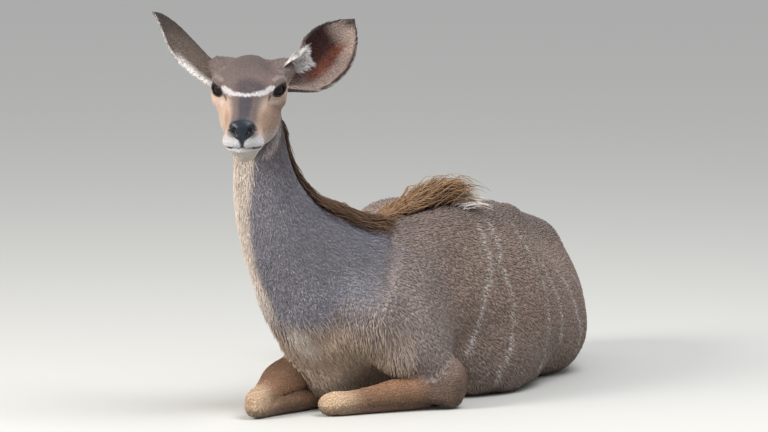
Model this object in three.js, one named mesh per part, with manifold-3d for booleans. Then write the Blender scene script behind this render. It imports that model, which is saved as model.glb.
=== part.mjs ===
// A greater kudu cow, life size, lying on her folded legs with her neck up and her head turned to one side.
// Millimetres. X is the animal's left, Y runs back along the body, Z is up, and she lies on Z = 0.
import * as THREE from "three";
import Module from "manifold-3d";

const wasm = await Module();
wasm.setup();

// The gap between two parts that touch.
const GAP = 0.3;

// The head: the point between the eyes, and how far the face turns to the left and dips, in degrees.
const EYES_AT = [-40, -364, 750];
const FACE_TURN = 23;
const FACE_DIP = 16;

// The eye: its ball, where it sits in the head, and how far it looks to the side, in degrees.
const EYE_RADIUS = 19.5;
const EYE_AT = [58, 2, 1];
const EYE_LOOK = 44;

// The ear: how thick its wall and its rim are, and how much narrower the right one is rolled.
const EAR_THICK = 5;
const EAR_RIGHT_SLIM = 0.8;
const EAR_RIM = 2.6;

// The long hair, in locks. from and to are places along the line of the body or the tail, and twist is
// how far round it they grow there, in degrees. Length and rise run through their values on the way.
const LOCK_SINK = 15;
const MANE = {
  count: 27,
  from: 0.05,
  to: 0.4,
  twist: [31, 22],
  spread: 12,
  length: [50, 80, 105, 95],
  rise: [9, 20, 34, 26],
  width: 27,
  thick: 6,
  seed: 7,
};
const WITHERS_TUFT = {
  count: 22,
  from: 0.44,
  to: 0.62,
  twist: [10, 20],
  spread: 7,
  length: [60, 115, 130, 110],
  rise: [12, 55, 50, 14],
  width: 28,
  thick: 6,
  seed: 19,
};
const TAIL_TUFT = {
  count: 12,
  from: 0.5,
  to: 0.97,
  twist: [0, 0],
  spread: 80,
  length: [60, 85, 75],
  rise: [10, 14, 6],
  width: 20,
  thick: 5,
  seed: 31,
};

const at = (x = 0, y = 0, z = 0) => new THREE.Vector3(x, y, z);
const rad = THREE.MathUtils.degToRad;
const lerp = THREE.MathUtils.lerp;
const sides = [["left", 1], ["right", -1]];

// Draws that come out the same on every run.
function dice(seed) {
  let state = seed;
  return (low, high) => {
    state = (state * 1664525 + 1013904223) % 4294967296;
    return low + ((high - low) * state) / 4294967296;
  };
}

// Flesh is a function of a point: below zero inside, and about the distance in millimetres outside.
function ovalDistance(x, y, z, a, b, c) {
  const near = Math.hypot(x / a, y / b, z / c);
  const steep = Math.hypot(x / (a * a), y / (b * b), z / (c * c));
  return steep < 1e-9 ? -Math.min(a, b, c) : (near * (near - 1)) / steep;
}

// An ellipsoid, turned in degrees about X, then Y, then Z.
function lump(centre, radii, turn = [0, 0, 0]) {
  const spin = new THREE.Euler(...turn.map(rad), "ZYX");
  const back = new THREE.Matrix4().makeRotationFromEuler(spin).setPosition(...centre).invert();
  const q = at();
  return (p) => {
    q.copy(p).applyMatrix4(back);
    return ovalDistance(q.x, q.y, q.z, ...radii);
  };
}

// A round limb or ridge with round ends.
function cone(from, to, startRadius, endRadius) {
  const start = at(...from);
  const run = at(...to).sub(start);
  const q = at();
  return (p) => {
    const t = THREE.MathUtils.clamp(q.subVectors(p, start).dot(run) / run.lengthSq(), 0, 1);
    return q.addScaledVector(run, -t).length() - lerp(startRadius, endRadius, t);
  };
}

// An oval tube along stations that run from head to tail. Each has its place, its half width, its height
// above and depth below the line, and the yaw and roll of its section in degrees.
function ovalTube(stations, cuts = 30) {
  const along = (pick) => new THREE.CatmullRomCurve3(stations.map(pick), false, "centripetal");
  const place = along((s) => at(...s.at));
  const size = along((s) => at(s.wide, s.up, s.down));
  const turn = along((s) => at(s.yaw ?? 0, s.roll ?? 0, 0));
  const slices = [];
  for (let i = 0; i <= cuts; i++) {
    const t = i / cuts;
    const run = place.getTangent(t);
    const { x: yaw, y: roll } = turn.getPoint(t);
    const left = at(Math.cos(rad(yaw)), Math.sin(rad(yaw)), 0);
    left.addScaledVector(run, -left.dot(run)).normalize().applyAxisAngle(run, rad(roll));
    const up = at().crossVectors(left, run);
    slices.push({ centre: place.getPoint(t), left, up, size: size.getPoint(t) });
  }
  const q = at();
  const run = at();
  return (p) => {
    let best = 1e9;
    for (let i = 0; i < cuts; i++) {
      const a = slices[i];
      const b = slices[i + 1];
      run.subVectors(b.centre, a.centre);
      const t = THREE.MathUtils.clamp(q.subVectors(p, a.centre).dot(run) / run.lengthSq(), 0, 1);
      q.addScaledVector(run, -t);
      const x = lerp(q.dot(a.left), q.dot(b.left), t);
      const y = lerp(q.dot(a.up), q.dot(b.up), t);
      const z = q.dot(run) / run.length();
      const wide = lerp(a.size.x, b.size.x, t);
      const tall = y > 0 ? lerp(a.size.y, b.size.y, t) : lerp(a.size.z, b.size.z, t);
      best = Math.min(best, ovalDistance(x, y, z, wide, tall, Math.min(wide, tall)));
    }
    return best;
  };
}

// Pieces of flesh that run into one another over about k millimetres.
function blend(k, ...pieces) {
  return (p) => {
    let sum = 1e9;
    for (const piece of pieces) {
      const d = piece(p);
      const h = Math.max(k - Math.abs(sum - d), 0) / k;
      sum = Math.min(sum, d) - (h * h * k) / 4;
    }
    return sum;
  };
}

// The same flesh on both sides of the head.
function bothSides(piece) {
  const q = at();
  return (p) => piece(q.set(Math.abs(p.x), p.y, p.z));
}

// Flesh that is flat where it rests on the ground.
const grounded = (flesh) => (p) => Math.max(flesh(p), -p.z);

// A surface from points and faces, turned so that it faces outward.
function closed(points, faces) {
  const cross = at();
  let volume = 0;
  for (const [a, b, c] of faces) volume += points[a].dot(cross.crossVectors(points[b], points[c]));
  if (volume < 0) faces.forEach((face) => face.reverse());
  return new THREE.BufferGeometry().setFromPoints(points).setIndex(faces.flat());
}

// A closed skin over rings of points, with a point at each end.
function ringSkin(rings, first, last) {
  const count = rings[0].length;
  const faces = [];
  const id = (ring, side) => 1 + ring * count + (side % count);
  const end = 1 + rings.length * count;
  for (let s = 0; s < count; s++) {
    faces.push([0, id(0, s + 1), id(0, s)], [end, id(rings.length - 1, s), id(rings.length - 1, s + 1)]);
    for (let r = 0; r < rings.length - 1; r++) {
      faces.push([id(r, s), id(r, s + 1), id(r + 1, s + 1)], [id(r, s), id(r + 1, s + 1), id(r + 1, s)]);
    }
  }
  return closed([first, ...rings.flat(), last], faces);
}

// A closed thin sheet between two grids of points, cut into triangles alike on both faces.
function sheetSkin(inner, outer) {
  const rows = inner.length;
  const columns = inner[0].length;
  const faces = [];
  const id = (face, row, column) => face * rows * columns + row * columns + column;
  const edge = (r1, c1, r2, c2) => {
    faces.push([id(0, r1, c1), id(1, r1, c1), id(1, r2, c2)], [id(0, r1, c1), id(1, r2, c2), id(0, r2, c2)]);
  };
  for (let r = 0; r < rows - 1; r++) {
    for (let c = 0; c < columns - 1; c++) {
      const corners = (face) => [id(face, r, c), id(face, r, c + 1), id(face, r + 1, c + 1), id(face, r + 1, c)];
      const [a, b, d, e] = corners(0);
      faces.push([a, b, d], [a, d, e]);
      const [f, g, h, k] = corners(1);
      faces.push([f, h, g], [f, k, h]);
    }
    edge(r + 1, 0, r, 0);
    edge(r, columns - 1, r + 1, columns - 1);
  }
  for (let c = 0; c < columns - 1; c++) {
    edge(0, c, 0, c + 1);
    edge(rows - 1, c + 1, rows - 1, c);
  }
  return closed([...inner.flat(), ...outer.flat()], faces);
}

// Where a ray from inside the flesh leaves it.
function leaves(flesh, from, way) {
  const p = at();
  let inside = 0;
  let outside = 7;
  while (outside < 800 && flesh(p.copy(from).addScaledVector(way, outside)) < 0) {
    inside = outside;
    outside += 7;
  }
  for (let i = 0; i < 16; i++) {
    const middle = (inside + outside) / 2;
    if (flesh(p.copy(from).addScaledVector(way, middle)) < 0) inside = middle;
    else outside = middle;
  }
  return at().copy(from).addScaledVector(way, (inside + outside) / 2);
}

// Rays from a line inside the flesh: u goes along the line, turn round it and tilt towards its ends.
function rays(line, up) {
  const path = new THREE.CatmullRomCurve3(line.map((p) => at(...p)), false, "centripetal");
  return (u, turn, tilt = 0) => {
    const run = path.getTangentAt(u);
    const left = at().crossVectors(run, up).normalize();
    const way = at().crossVectors(left, run).multiplyScalar(Math.cos(turn));
    way.addScaledVector(left, Math.sin(turn));
    way.multiplyScalar(Math.cos(tilt)).addScaledVector(run, Math.sin(tilt));
    return { from: path.getPointAt(u), way, run };
  };
}

// The skin of a piece of flesh, found by rings of rays and a dome of them at each end of the line.
// grow moves the skin out.
function castSkin(flesh, line, { around, rings, caps = 4, up = at(0, 0, 1), grow = 0 }) {
  const rayAt = rays(line, up);
  const hit = (...angles) => {
    const { from, way } = rayAt(...angles);
    return leaves((p) => flesh(p) - grow, from, way);
  };
  const turns = Array.from({ length: around }, (_, s) => (2 * Math.PI * s) / around);
  const ringAt = (u, tilt) => turns.map((turn) => hit(u, turn, tilt));
  const skin = [];
  for (let c = 1; c < caps; c++) skin.push(ringAt(0, (-Math.PI / 2) * (1 - c / caps)));
  for (let r = 0; r <= rings; r++) skin.push(ringAt(r / rings, 0));
  for (let c = 1; c < caps; c++) skin.push(ringAt(1, (Math.PI / 2) * (c / caps)));
  return ringSkin(skin, hit(0, 0, -Math.PI / 2), hit(1, 0, Math.PI / 2));
}

// Solids that can be cut and joined.
function solid(geometry, matrix = new THREE.Matrix4()) {
  const g = geometry.clone().applyMatrix4(matrix);
  const mesh = new wasm.Mesh({
    numProp: 3,
    vertProperties: g.attributes.position.array,
    triVerts: new Uint32Array(g.index.array),
  });
  mesh.merge();
  return new wasm.Manifold(mesh);
}

function geometryOf(piece) {
  const mesh = piece.getMesh();
  const geometry = new THREE.BufferGeometry();
  geometry.setAttribute("position", new THREE.BufferAttribute(mesh.vertProperties, 3));
  return geometry.setIndex(new THREE.BufferAttribute(mesh.triVerts, 1));
}

const largest = (piece) => piece.decompose().sort((a, b) => b.volume() - a.volume())[0];
const cut = (piece, ...tools) => largest(tools.reduce((rest, tool) => rest.subtract(tool), piece));
const join = (...pieces) => largest(pieces.reduce((sum, piece) => sum.add(piece)));

// A three.js shape with its places alone, so that its seams close.
function bare(geometry) {
  geometry.deleteAttribute("normal");
  geometry.deleteAttribute("uv");
  const count = geometry.attributes.position.count;
  return geometry.index ? geometry : geometry.setIndex(Array.from({ length: count }, (_, i) => i));
}

function ball(radii, centre, turn = [0, 0, 0], detail = 20) {
  const spin = new THREE.Quaternion().setFromEuler(new THREE.Euler(...turn.map(rad), "ZYX"));
  const matrix = new THREE.Matrix4().compose(at(...centre), spin, at(...radii));
  return solid(bare(new THREE.SphereGeometry(1, detail, detail / 2)), matrix);
}

// All the space on the side of a plane that its normal points to.
function beyond(point, normal) {
  const spin = new THREE.Quaternion().setFromUnitVectors(at(0, 0, 1), at(...normal).normalize());
  const matrix = new THREE.Matrix4().compose(at(...point), spin, at(1, 1, 1));
  return solid(bare(new THREE.BoxGeometry(4000, 4000, 2000).translate(0, 0, 1000)), matrix);
}

// The trunk: chest, belly and hips, which roll onto the left side towards the rump.
const trunk = ovalTube([
  { at: [-3, -136, 240], wide: 70, up: 88, down: 112, yaw: -15, roll: 8 },
  { at: [8, -40, 225], wide: 120, up: 150, down: 160, yaw: -15, roll: 10 },
  { at: [48, 110, 222], wide: 152, up: 188, down: 205, yaw: -14, roll: 14 },
  { at: [92, 300, 220], wide: 196, up: 206, down: 222, yaw: -6, roll: 16 },
  { at: [98, 480, 212], wide: 236, up: 208, down: 232, yaw: 4, roll: 18 },
  { at: [78, 640, 205], wide: 240, up: 196, down: 230, yaw: 12, roll: 24 },
  { at: [40, 790, 200], wide: 205, up: 178, down: 210, yaw: 16, roll: 32 },
  { at: [5, 890, 185], wide: 135, up: 140, down: 150, yaw: 18, roll: 34 },
]);
const withers = cone([78, 110, 362], [150, 260, 398], 42, 34);
const back = blend(
  30,
  cone([150, 260, 398], [172, 560, 384], 34, 36),
  cone([172, 560, 384], [150, 810, 318], 36, 34),
);
const brisket = cone([4, -112, 172], [40, 80, 110], 58, 90);
const breast = lump([24, -64, 80], [50, 56, 78]);
const belly = lump([198, 372, 66], [126, 205, 92], [0, 0, -4]);
const shoulderLeft = blend(
  40,
  cone([150, 180, 345], [122, -70, 215], 58, 72),
  cone([122, -70, 215], [246, 46, 66], 72, 46),
  lump([180, 68, 190], [70, 108, 116], [0, -16, 20]),
);
const shoulderRight = blend(
  40,
  cone([20, 190, 350], [-58, -125, 255], 52, 58),
  cone([-58, -125, 255], [-62, 10, 112], 58, 44),
  lump([-70, 70, 190], [60, 110, 110], [0, 0, 10]),
);
const haunchLeft = lump([156, 718, 88], [124, 170, 114], [0, -4, 14]);
const haunchRight = blend(
  50,
  cone([-20, 790, 318], [-192, 640, 328], 84, 86),
  lump([-70, 755, 220], [130, 170, 140], [0, 28, 12]),
);

// The neck, from behind the skull down into the chest, deeper from nape to throat than it is wide.
const NECK = [
  { at: [-80, -262, 742], wide: 55, up: 60, down: 56, yaw: 20 },
  { at: [-80, -252, 670], wide: 60, up: 66, down: 70, yaw: 16 },
  { at: [-76, -236, 580], wide: 64, up: 72, down: 78, yaw: 10 },
  { at: [-69, -211, 492], wide: 76, up: 84, down: 99, yaw: 4 },
  { at: [-52, -158, 405], wide: 94, up: 104, down: 131, yaw: -4 },
  { at: [-20, -82, 325], wide: 112, up: 138, down: 158, yaw: -12 },
  { at: [35, 50, 255], wide: 112, up: 150, down: 165, yaw: -15 },
];
const neckFlesh = ovalTube(NECK);
const front = blend(34, blend(46, brisket, shoulderLeft, shoulderRight), breast);
const chest = blend(46, trunk, belly, withers, back, front);
const body = grounded(blend(46, chest, haunchLeft, haunchRight, neckFlesh));

// The neck meets the torso on a plane from the dip before the withers down to the brisket.
const NECK_BASE = at(80, 100, 410);
const NECK_WAY = at(-0.169, -0.629, 0.759).normalize();
const planeAt = (off) => NECK_BASE.clone().addScaledVector(NECK_WAY, off).toArray();

// The head in its own frame: the eyes are on X, the face looks along -Y and Z is up from the brow.
const skull = blend(
  20,
  lump([0, 46, -4], [60, 80, 62]),
  lump([0, 8, 2], [64, 60, 34], [10, 0, 0]),
  ovalTube([
    { at: [0, 24, -40], wide: 58, up: 58, down: 78 },
    { at: [0, -45, -42], wide: 50, up: 55, down: 62 },
    { at: [0, -105, -44], wide: 40, up: 49, down: 48 },
    { at: [0, -155, -46], wide: 34, up: 43, down: 40 },
    { at: [0, -180, -44], wide: 30, up: 36, down: 34 },
  ]),
  bothSides(lump([66, 74, 18], [32, 36, 32])),
  bothSides(lump([57, 11, 2], [27, 30, 28])),
  bothSides(cone([64, 4, -28], [58, 70, -18], 16, 18)),
  bothSides(lump([36, 24, -72], [31, 60, 50])),
  ovalTube([
    { at: [0, 62, -92], wide: 48, up: 30, down: 36 },
    { at: [0, 0, -106], wide: 42, up: 30, down: 24 },
    { at: [0, -80, -100], wide: 30, up: 26, down: 20 },
    { at: [0, -156, -88], wide: 25, up: 22, down: 19 },
  ]),
  bothSides(lump([21, -168, -57], [24, 26, 18])),
  lump([0, -186, -23], [31, 22, 25]),
);
const headFrame = new THREE.Matrix4()
  .makeRotationFromEuler(new THREE.Euler(rad(FACE_DIP), 0, rad(FACE_TURN), "ZYX"))
  .setPosition(...EYES_AT);

const finish = (color, roughness = 0.85) => new THREE.MeshStandardMaterial({ color, roughness, metalness: 0 });
const COAT = finish(0x8c7563);
const NECK_COAT = finish(0x85796f);
const FACE = finish(0x9a8270);
const LEG = finish(0xa07a5c);
const EAR = finish(0x7b6b60);
const HOOF = finish(0x2c2826, 0.5);
const EYE = finish(0x14100e, 0.05);

const kudu = new THREE.Group();
const head = new THREE.Group();
head.applyMatrix4(headFrame);
kudu.add(head);

function node(name, piece, material, parent = kudu) {
  const mesh = new THREE.Mesh(geometryOf(piece), material);
  mesh.name = name;
  parent.add(mesh);
}

const ground = beyond([0, 0, 0], [0, 0, -1]);

// One skin for the neck and the torso, and the same a little larger to cut their neighbours with.
const BODY_LINE = [
  ...NECK.slice(0, 5).map((s) => s.at),
  [-20, -86, 335],
  [20, 20, 276],
  [60, 150, 234],
  [92, 310, 206],
  [98, 490, 190],
  [68, 680, 185],
  [30, 830, 180],
];
const BODY_UP = at(0, 1, 1);
const BODY_CAST = { around: 36, rings: 44, caps: 5, up: BODY_UP };
const bodySkin = (grow) => solid(castSkin(body, BODY_LINE, { ...BODY_CAST, grow }));
const bodyWhole = bodySkin(0);
const bodyGrown = bodySkin(GAP);

const headLine = [[0, 48, -44], [0, -60, -48], [0, -165, -50]];
const headSkin = (grow) => castSkin(skull, headLine, { around: 36, rings: 21, caps: 6, grow });
const headGrown = solid(headSkin(GAP));
const neckWay = NECK_WAY.toArray();
const torsoSide = beyond(planeAt(GAP / 2), NECK_WAY.clone().negate().toArray());
const neckSide = beyond(planeAt(-GAP / 2), neckWay);

// A lock is a flat taper that bends over from its root, which is sunk in the skin, to its tip. grow moves
// its surface out.
function lock({ root, out, middle, tip, width, thick, grow }) {
  const side = at().crossVectors(out, at().subVectors(tip, root)).normalize();
  const sunk = root.clone().addScaledVector(out, -LOCK_SINK);
  const bend = new THREE.QuadraticBezierCurve3(sunk, middle, tip);
  const corners = [[1, 0], [0, 1], [-1, 0], [0, -1]];
  const rings = [0.12, 0.45, 0.76].map((t) => {
    const flat = at().crossVectors(bend.getTangent(t), side).normalize();
    const taper = 1 - 0.75 * Math.max((t - 0.3) / 0.7, 0) ** 1.6;
    return corners.map(([x, z]) => bend
      .getPoint(t)
      .addScaledVector(side, x * ((width * taper) / 2 + grow))
      .addScaledVector(flat, z * ((thick * taper) / 2 + 2 * grow)));
  });
  const end = bend.getPoint(1).addScaledVector(bend.getTangent(1), 6 * grow);
  return solid(ringSkin(rings, bend.getPoint(0), end));
}

// The value at t, from 0 to 1, on the way through a few values.
function between(values, t) {
  const place = THREE.MathUtils.clamp(t, 0, 1) * (values.length - 1);
  const step = Math.min(Math.floor(place), values.length - 2);
  return lerp(values[step], values[step + 1], place - step);
}

// A row of locks on the flesh, each lying along it away from the head.
function lockRow(flesh, rayAt, sizes, grow = 0) {
  const { count, from, to, twist, spread, length, rise, width, thick, seed } = sizes;
  const draw = dice(seed);
  return Array.from({ length: count }, (_, i) => {
    const t = (i + draw(-0.25, 0.25)) / (count - 1);
    const u = THREE.MathUtils.clamp(lerp(from, to, t), 0, 1);
    const turn = rad(between(twist, t) + (i % 2 ? 1 : -1) * draw(spread * 0.2, spread));
    const skinAt = (place) => {
      const ray = rayAt(Math.min(place, 1), turn);
      return { point: leaves(flesh, ray.from, ray.way), way: ray.way };
    };
    const step = u < 0.97 ? 0.02 : -0.02;
    const root = skinAt(u);
    const along = skinAt(u + step).point.sub(root.point).divideScalar(step);
    const out = root.way.clone().addScaledVector(along, -root.way.dot(along) / along.lengthSq()).normalize();
    const reach = (share, height) => {
      const place = u + (share * reachLength) / along.length();
      const past = Math.max(place - 1, 0);
      return skinAt(place).point.addScaledVector(along, past).addScaledVector(out, height);
    };
    const size = draw(0.85, 1.15);
    const reachLength = between(length, t) * size;
    const stand = between(rise, t) * size;
    const side = at().crossVectors(out, along).normalize();
    const middle = reach(0.45, stand * 0.85);
    const tip = reach(1, stand).addScaledVector(side, draw(-9, 9));
    return lock({ root: root.point, out, middle, tip, width: width * draw(0.85, 1.15), thick, grow });
  });
}
const bodyRay = rays(BODY_LINE, BODY_UP);
const mane = lockRow(body, bodyRay, MANE);
const withersTuft = lockRow(body, bodyRay, WITHERS_TUFT);
const torso = join(cut(bodyWhole, neckSide), ...withersTuft);
const aroundNeck = [solid(headSkin(GAP), headFrame), ...lockRow(body, bodyRay, WITHERS_TUFT, GAP)];
const neck = cut(join(cut(bodyWhole, torsoSide), ...mane), ...aroundNeck);

// Openings in the head: an almond before each eye, the nostrils and the line of the mouth.
function eyeOpening(side) {
  const look = at(side * Math.sin(rad(EYE_LOOK)), -Math.cos(rad(EYE_LOOK)), 0.05);
  const middle = at(side * EYE_AT[0], EYE_AT[1], EYE_AT[2]).addScaledVector(look, 18);
  return ball([12, 17, 10.5], middle.toArray(), [0, 0, side * (EYE_LOOK - 90)], 16);
}
const eyeBall = (side, grow = 0) => {
  const radius = EYE_RADIUS + grow;
  return ball([radius, radius, radius], [side * EYE_AT[0], EYE_AT[1], EYE_AT[2]], [0, 0, 0], 16);
};
const nostril = (side) => ball([6, 12, 8], [side * 18.5, -206, -19], [0, 0, side * 25], 10);
const openings = [1, -1].flatMap((side) => [eyeOpening(side), eyeBall(side, GAP), nostril(side)]);
const slit = solid(bare(new THREE.BoxGeometry(120, 120, 2.6).translate(0, -176, 0)));
const mouthPlace = new THREE.Matrix4().makeRotationX(rad(-5)).setPosition(0, 0, -79);
const mouth = slit.subtract(ball([34, 74, 12], [0, -118, 0])).transform(mouthPlace.toArray());
function lids(side) {
  const look = at(side * Math.sin(rad(EYE_LOOK)), -Math.cos(rad(EYE_LOOK)), 0.05).normalize();
  const along = at().crossVectors(at(0, 0, 1), look).normalize();
  const matrix = new THREE.Matrix4().makeBasis(along, at().crossVectors(look, along), look);
  matrix.setPosition(at(side * EYE_AT[0], EYE_AT[1], EYE_AT[2]).addScaledVector(look, 13.5));
  return solid(bare(new THREE.TorusGeometry(1, 0.2, 6, 20)), matrix.scale(at(18, 12.5, 16)));
}
const headSolid = cut(join(solid(headSkin(0)), lids(1), lids(-1)), ...openings, mouth);

node("torso", torso, COAT);
node("neck", neck, NECK_COAT);
node("head", headSolid, FACE, head);
for (const [name, side] of sides) node(`eye_${name}`, eyeBall(side), EYE, head);

// An ear is a leaf rolled into a cup. From root to tip: how far along, half its width in the open
// side, and half the angle of its roll in degrees.
const EAR_SHAPE = [
  { along: 0, half: 26, roll: 140 },
  { along: 0.15, half: 36, roll: 122 },
  { along: 0.28, half: 46, roll: 104 },
  { along: 0.42, half: 58, roll: 88 },
  { along: 0.58, half: 60, roll: 76 },
  { along: 0.74, half: 52, roll: 62 },
  { along: 0.87, half: 35, roll: 52 },
  { along: 0.96, half: 17, roll: 45 },
  { along: 1, half: 4, roll: 40 },
];
function earSkin(spine, opening, slim = 1, across = 5, rings = 13) {
  const path = new THREE.CatmullRomCurve3(spine.map((p) => at(...p)), false, "centripetal");
  const stations = EAR_SHAPE.map((s) => at(s.along * 250, s.half * slim, s.roll));
  const shape = new THREE.CatmullRomCurve3(stations, false, "centripetal");
  const inner = [];
  const outer = [];
  for (let r = 0; r <= rings; r++) {
    const { x: length, y: half, z: roll } = shape.getPointAt(r / rings);
    const u = THREE.MathUtils.clamp(length / 250, 0, 1);
    const run = path.getTangentAt(u);
    const open = at(...opening);
    open.addScaledVector(run, -open.dot(run)).normalize();
    const side = at().crossVectors(run, open);
    const radius = half / Math.sin(rad(Math.min(roll, 90)));
    const place = (s, depth) => {
      const angle = rad(roll) * s;
      return path
        .getPointAt(u)
        .addScaledVector(side, (radius + depth) * Math.sin(angle))
        .addScaledVector(open, radius * 0.5 - (radius + depth) * Math.cos(angle));
    };
    const steps = Array.from({ length: across * 2 + 1 }, (_, i) => i / across - 1);
    const thick = (s) => lerp(EAR_THICK, EAR_RIM, Math.max(Math.abs(s), u) ** 3);
    inner.push(steps.map((s) => place(s, -thick(s) / 2)));
    outer.push(steps.map((s) => place(s, thick(s) / 2)));
  }
  return sheetSkin(inner, outer);
}
const earLeft = earSkin(
  [[50, 64, 0], [96, 87, 6], [130, 109, 10], [160, 141, 28], [200, 188, 62], [222, 223, 84]],
  [0.1, -0.96, 0.28],
);
const earRight = earSkin(
  [[-48, 60, -3], [-86, 82, 13], [-126, 112, 28], [-162, 146, 49], [-199, 182, 77], [-228, 212, 102]],
  [-0.68, -0.12, -0.7],
  EAR_RIGHT_SLIM,
);
node("ear_left", cut(solid(earLeft), headGrown), EAR, head);
node("ear_right", cut(solid(earRight), headGrown), EAR, head);

// A hoof is pointed in front and flat below.
const HOOF_WIDTH = 26;
const HOOF_HEIGHT = 36;
const HOOF_OUTLINE = [[-1, 0], [-0.86, 0.62], [-0.3, 1], [0.3, 1], [0.86, 0.62], [1, 0]];
const HOOF_SECTIONS = [
  { t: 0.02, wide: 0.62, tall: 0.7 },
  { t: 0.2, wide: 0.95, tall: 1 },
  { t: 0.55, wide: 0.92, tall: 0.85 },
  { t: 0.85, wide: 0.6, tall: 0.5 },
];
function hoof([heel, toe], side, grow = 0) {
  const run = at(...toe).sub(at(...heel));
  const across = at().crossVectors(run, at(0, 0, 1)).normalize();
  const half = HOOF_WIDTH / 2 + 1.5 * grow;
  const place = (t, x, z) => at(...heel)
    .addScaledVector(run, t)
    .addScaledVector(across, side * (1.2 + HOOF_WIDTH / 2) + x * half)
    .add(at(0, 0, z * (HOOF_HEIGHT + 3 * grow) - grow));
  const rings = HOOF_SECTIONS.map(({ t, wide, tall }) => {
    const inward = side * (wide - 1) * 0.8;
    return HOOF_OUTLINE.map(([x, z]) => place(t, x * wide + inward, z * tall));
  });
  const tip = (2 * grow) / run.length();
  return solid(ringSkin(rings, place(-0.02 - tip, -side * 0.3, 0.3), place(1 + tip, -side * 0.7, 0.12)));
}

// Legs. Each is folded in two: one half lies over the other and both are cut by the trunk.
const limb = (flesh, line) => solid(castSkin(flesh, line, { around: 12, rings: 7, caps: 4 }));
function legNodes(place, upper, upperLine, lower, lowerLine, foot) {
  const whole = join(limb(grounded(upper), upperLine), limb(grounded(lower), lowerLine));
  const hooves = [1, -1].map((side) => hoof(foot, side, GAP));
  node(`${place.replace("_", "leg_")}`, cut(whole, bodyGrown, ground, ...hooves), LEG);
  node(`hoof_${place}_outer`, cut(hoof(foot, 1), bodyGrown, ground), HOOF);
  node(`hoof_${place}_inner`, cut(hoof(foot, -1), bodyGrown, ground), HOOF);
}

// Forelegs, under the chest: the forearm lies forward to the knee and the cannon back beneath it.
legNodes(
  "fore_left",
  blend(
    16,
    lump([264, 46, 62], [40, 50, 62]),
    cone([246, 36, 52], [165, -70, 44], 38, 27),
    cone([165, -70, 44], [84, -172, 31], 27, 20),
    lump([77, -178, 27], [25, 34, 25], [0, 0, -38]),
  ),
  [[240, 28, 50], [165, -70, 44], [80, -174, 28]],
  blend(
    12,
    cone([88, -172, 18], [206, -12, 16], 18, 14),
    lump([212, 0, 19], [19, 26, 20], [0, 0, -30]),
    cone([212, 6, 20], [208, 52, 24], 16, 15),
  ),
  [[88, -172, 18], [206, -12, 16], [209, 46, 22]],
  [[208, 50, 2], [194, 112, 2]],
);
legNodes(
  "fore_right",
  blend(
    16,
    cone([-66, -20, 108], [-72, -150, 72], 44, 32),
    cone([-72, -150, 72], [-62, -278, 42], 32, 26),
    lump([-60, -292, 36], [28, 36, 33], [8, 0, 4]),
  ),
  [[-66, -30, 104], [-72, -150, 72], [-60, -286, 38]],
  blend(
    12,
    cone([-58, -280, 20], [-20, -90, 18], 20, 15),
    lump([-18, -80, 20], [20, 26, 21], [0, 0, -12]),
    cone([-18, -76, 20], [-12, -30, 24], 17, 16),
  ),
  [[-58, -280, 20], [-20, -90, 18], [-13, -36, 22]],
  [[-12, -30, 2], [-2, 30, 2]],
);

// Hind legs: the shank goes back from the stifle to the hock, and the cannon on from there.
legNodes(
  "hind_right",
  blend(18, cone([-205, 660, 290], [-288, 850, 78], 58, 27), lump([-292, 866, 66], [24, 32, 40])),
  [[-205, 660, 290], [-250, 765, 180], [-292, 862, 66]],
  blend(
    12,
    cone([-292, 862, 44], [-330, 620, 24], 22, 17),
    lump([-332, 606, 24], [21, 27, 23]),
    cone([-334, 600, 24], [-342, 548, 26], 18, 17),
  ),
  [[-292, 862, 40], [-330, 620, 24], [-340, 556, 26]],
  [[-343, 540, 0], [-350, 478, 0]],
);
legNodes(
  "hind_left",
  blend(18, cone([225, 590, 70], [130, 925, 56], 60, 27), lump([128, 940, 50], [26, 30, 36], [0, 0, 20])),
  [[225, 590, 70], [180, 760, 62], [128, 938, 50]],
  blend(
    12,
    cone([124, 944, 34], [-90, 985, 22], 22, 17),
    lump([-104, 987, 22], [27, 21, 22]),
    cone([-108, 987, 22], [-158, 976, 24], 18, 16),
  ),
  [[124, 944, 34], [-90, 985, 22], [-150, 978, 24]],
  [[-164, 974, 0], [-224, 958, 0]],
);

// The tail lies down the rump to the ground.
const TAIL = [
  { at: [78, 912, 285], wide: 32, up: 24, down: 24 },
  { at: [98, 985, 215], wide: 27, up: 17, down: 17 },
  { at: [104, 1018, 120], wide: 22, up: 13, down: 13 },
  { at: [92, 1034, 45], wide: 24, up: 13, down: 13 },
  { at: [50, 1046, 16], wide: 14, up: 9, down: 9 },
];
const tailFlesh = grounded(ovalTube(TAIL));
const tailLine = TAIL.map((station) => station.at);
const TAIL_UP = at(0, 1, 0.3);
const tailSkin = castSkin(tailFlesh, tailLine, { around: 12, rings: 10, caps: 3, up: TAIL_UP });
const tailTuft = lockRow(tailFlesh, rays(tailLine, TAIL_UP), TAIL_TUFT);
node("tail", cut(join(solid(tailSkin), ...tailTuft), bodyGrown, ground), COAT);

// The origin is under the middle of the model, on the ground.
const bounds = new THREE.Box3().setFromObject(kudu, true);
const middle = bounds.getCenter(at());
kudu.position.set(-middle.x, -middle.y, -bounds.min.z);
kudu.updateMatrixWorld(true);

export default kudu;
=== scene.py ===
import bpy
import bmesh
import math
import numpy as np
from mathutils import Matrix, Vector
from mathutils.bvhtree import BVHTree
from mathutils.kdtree import KDTree


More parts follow.
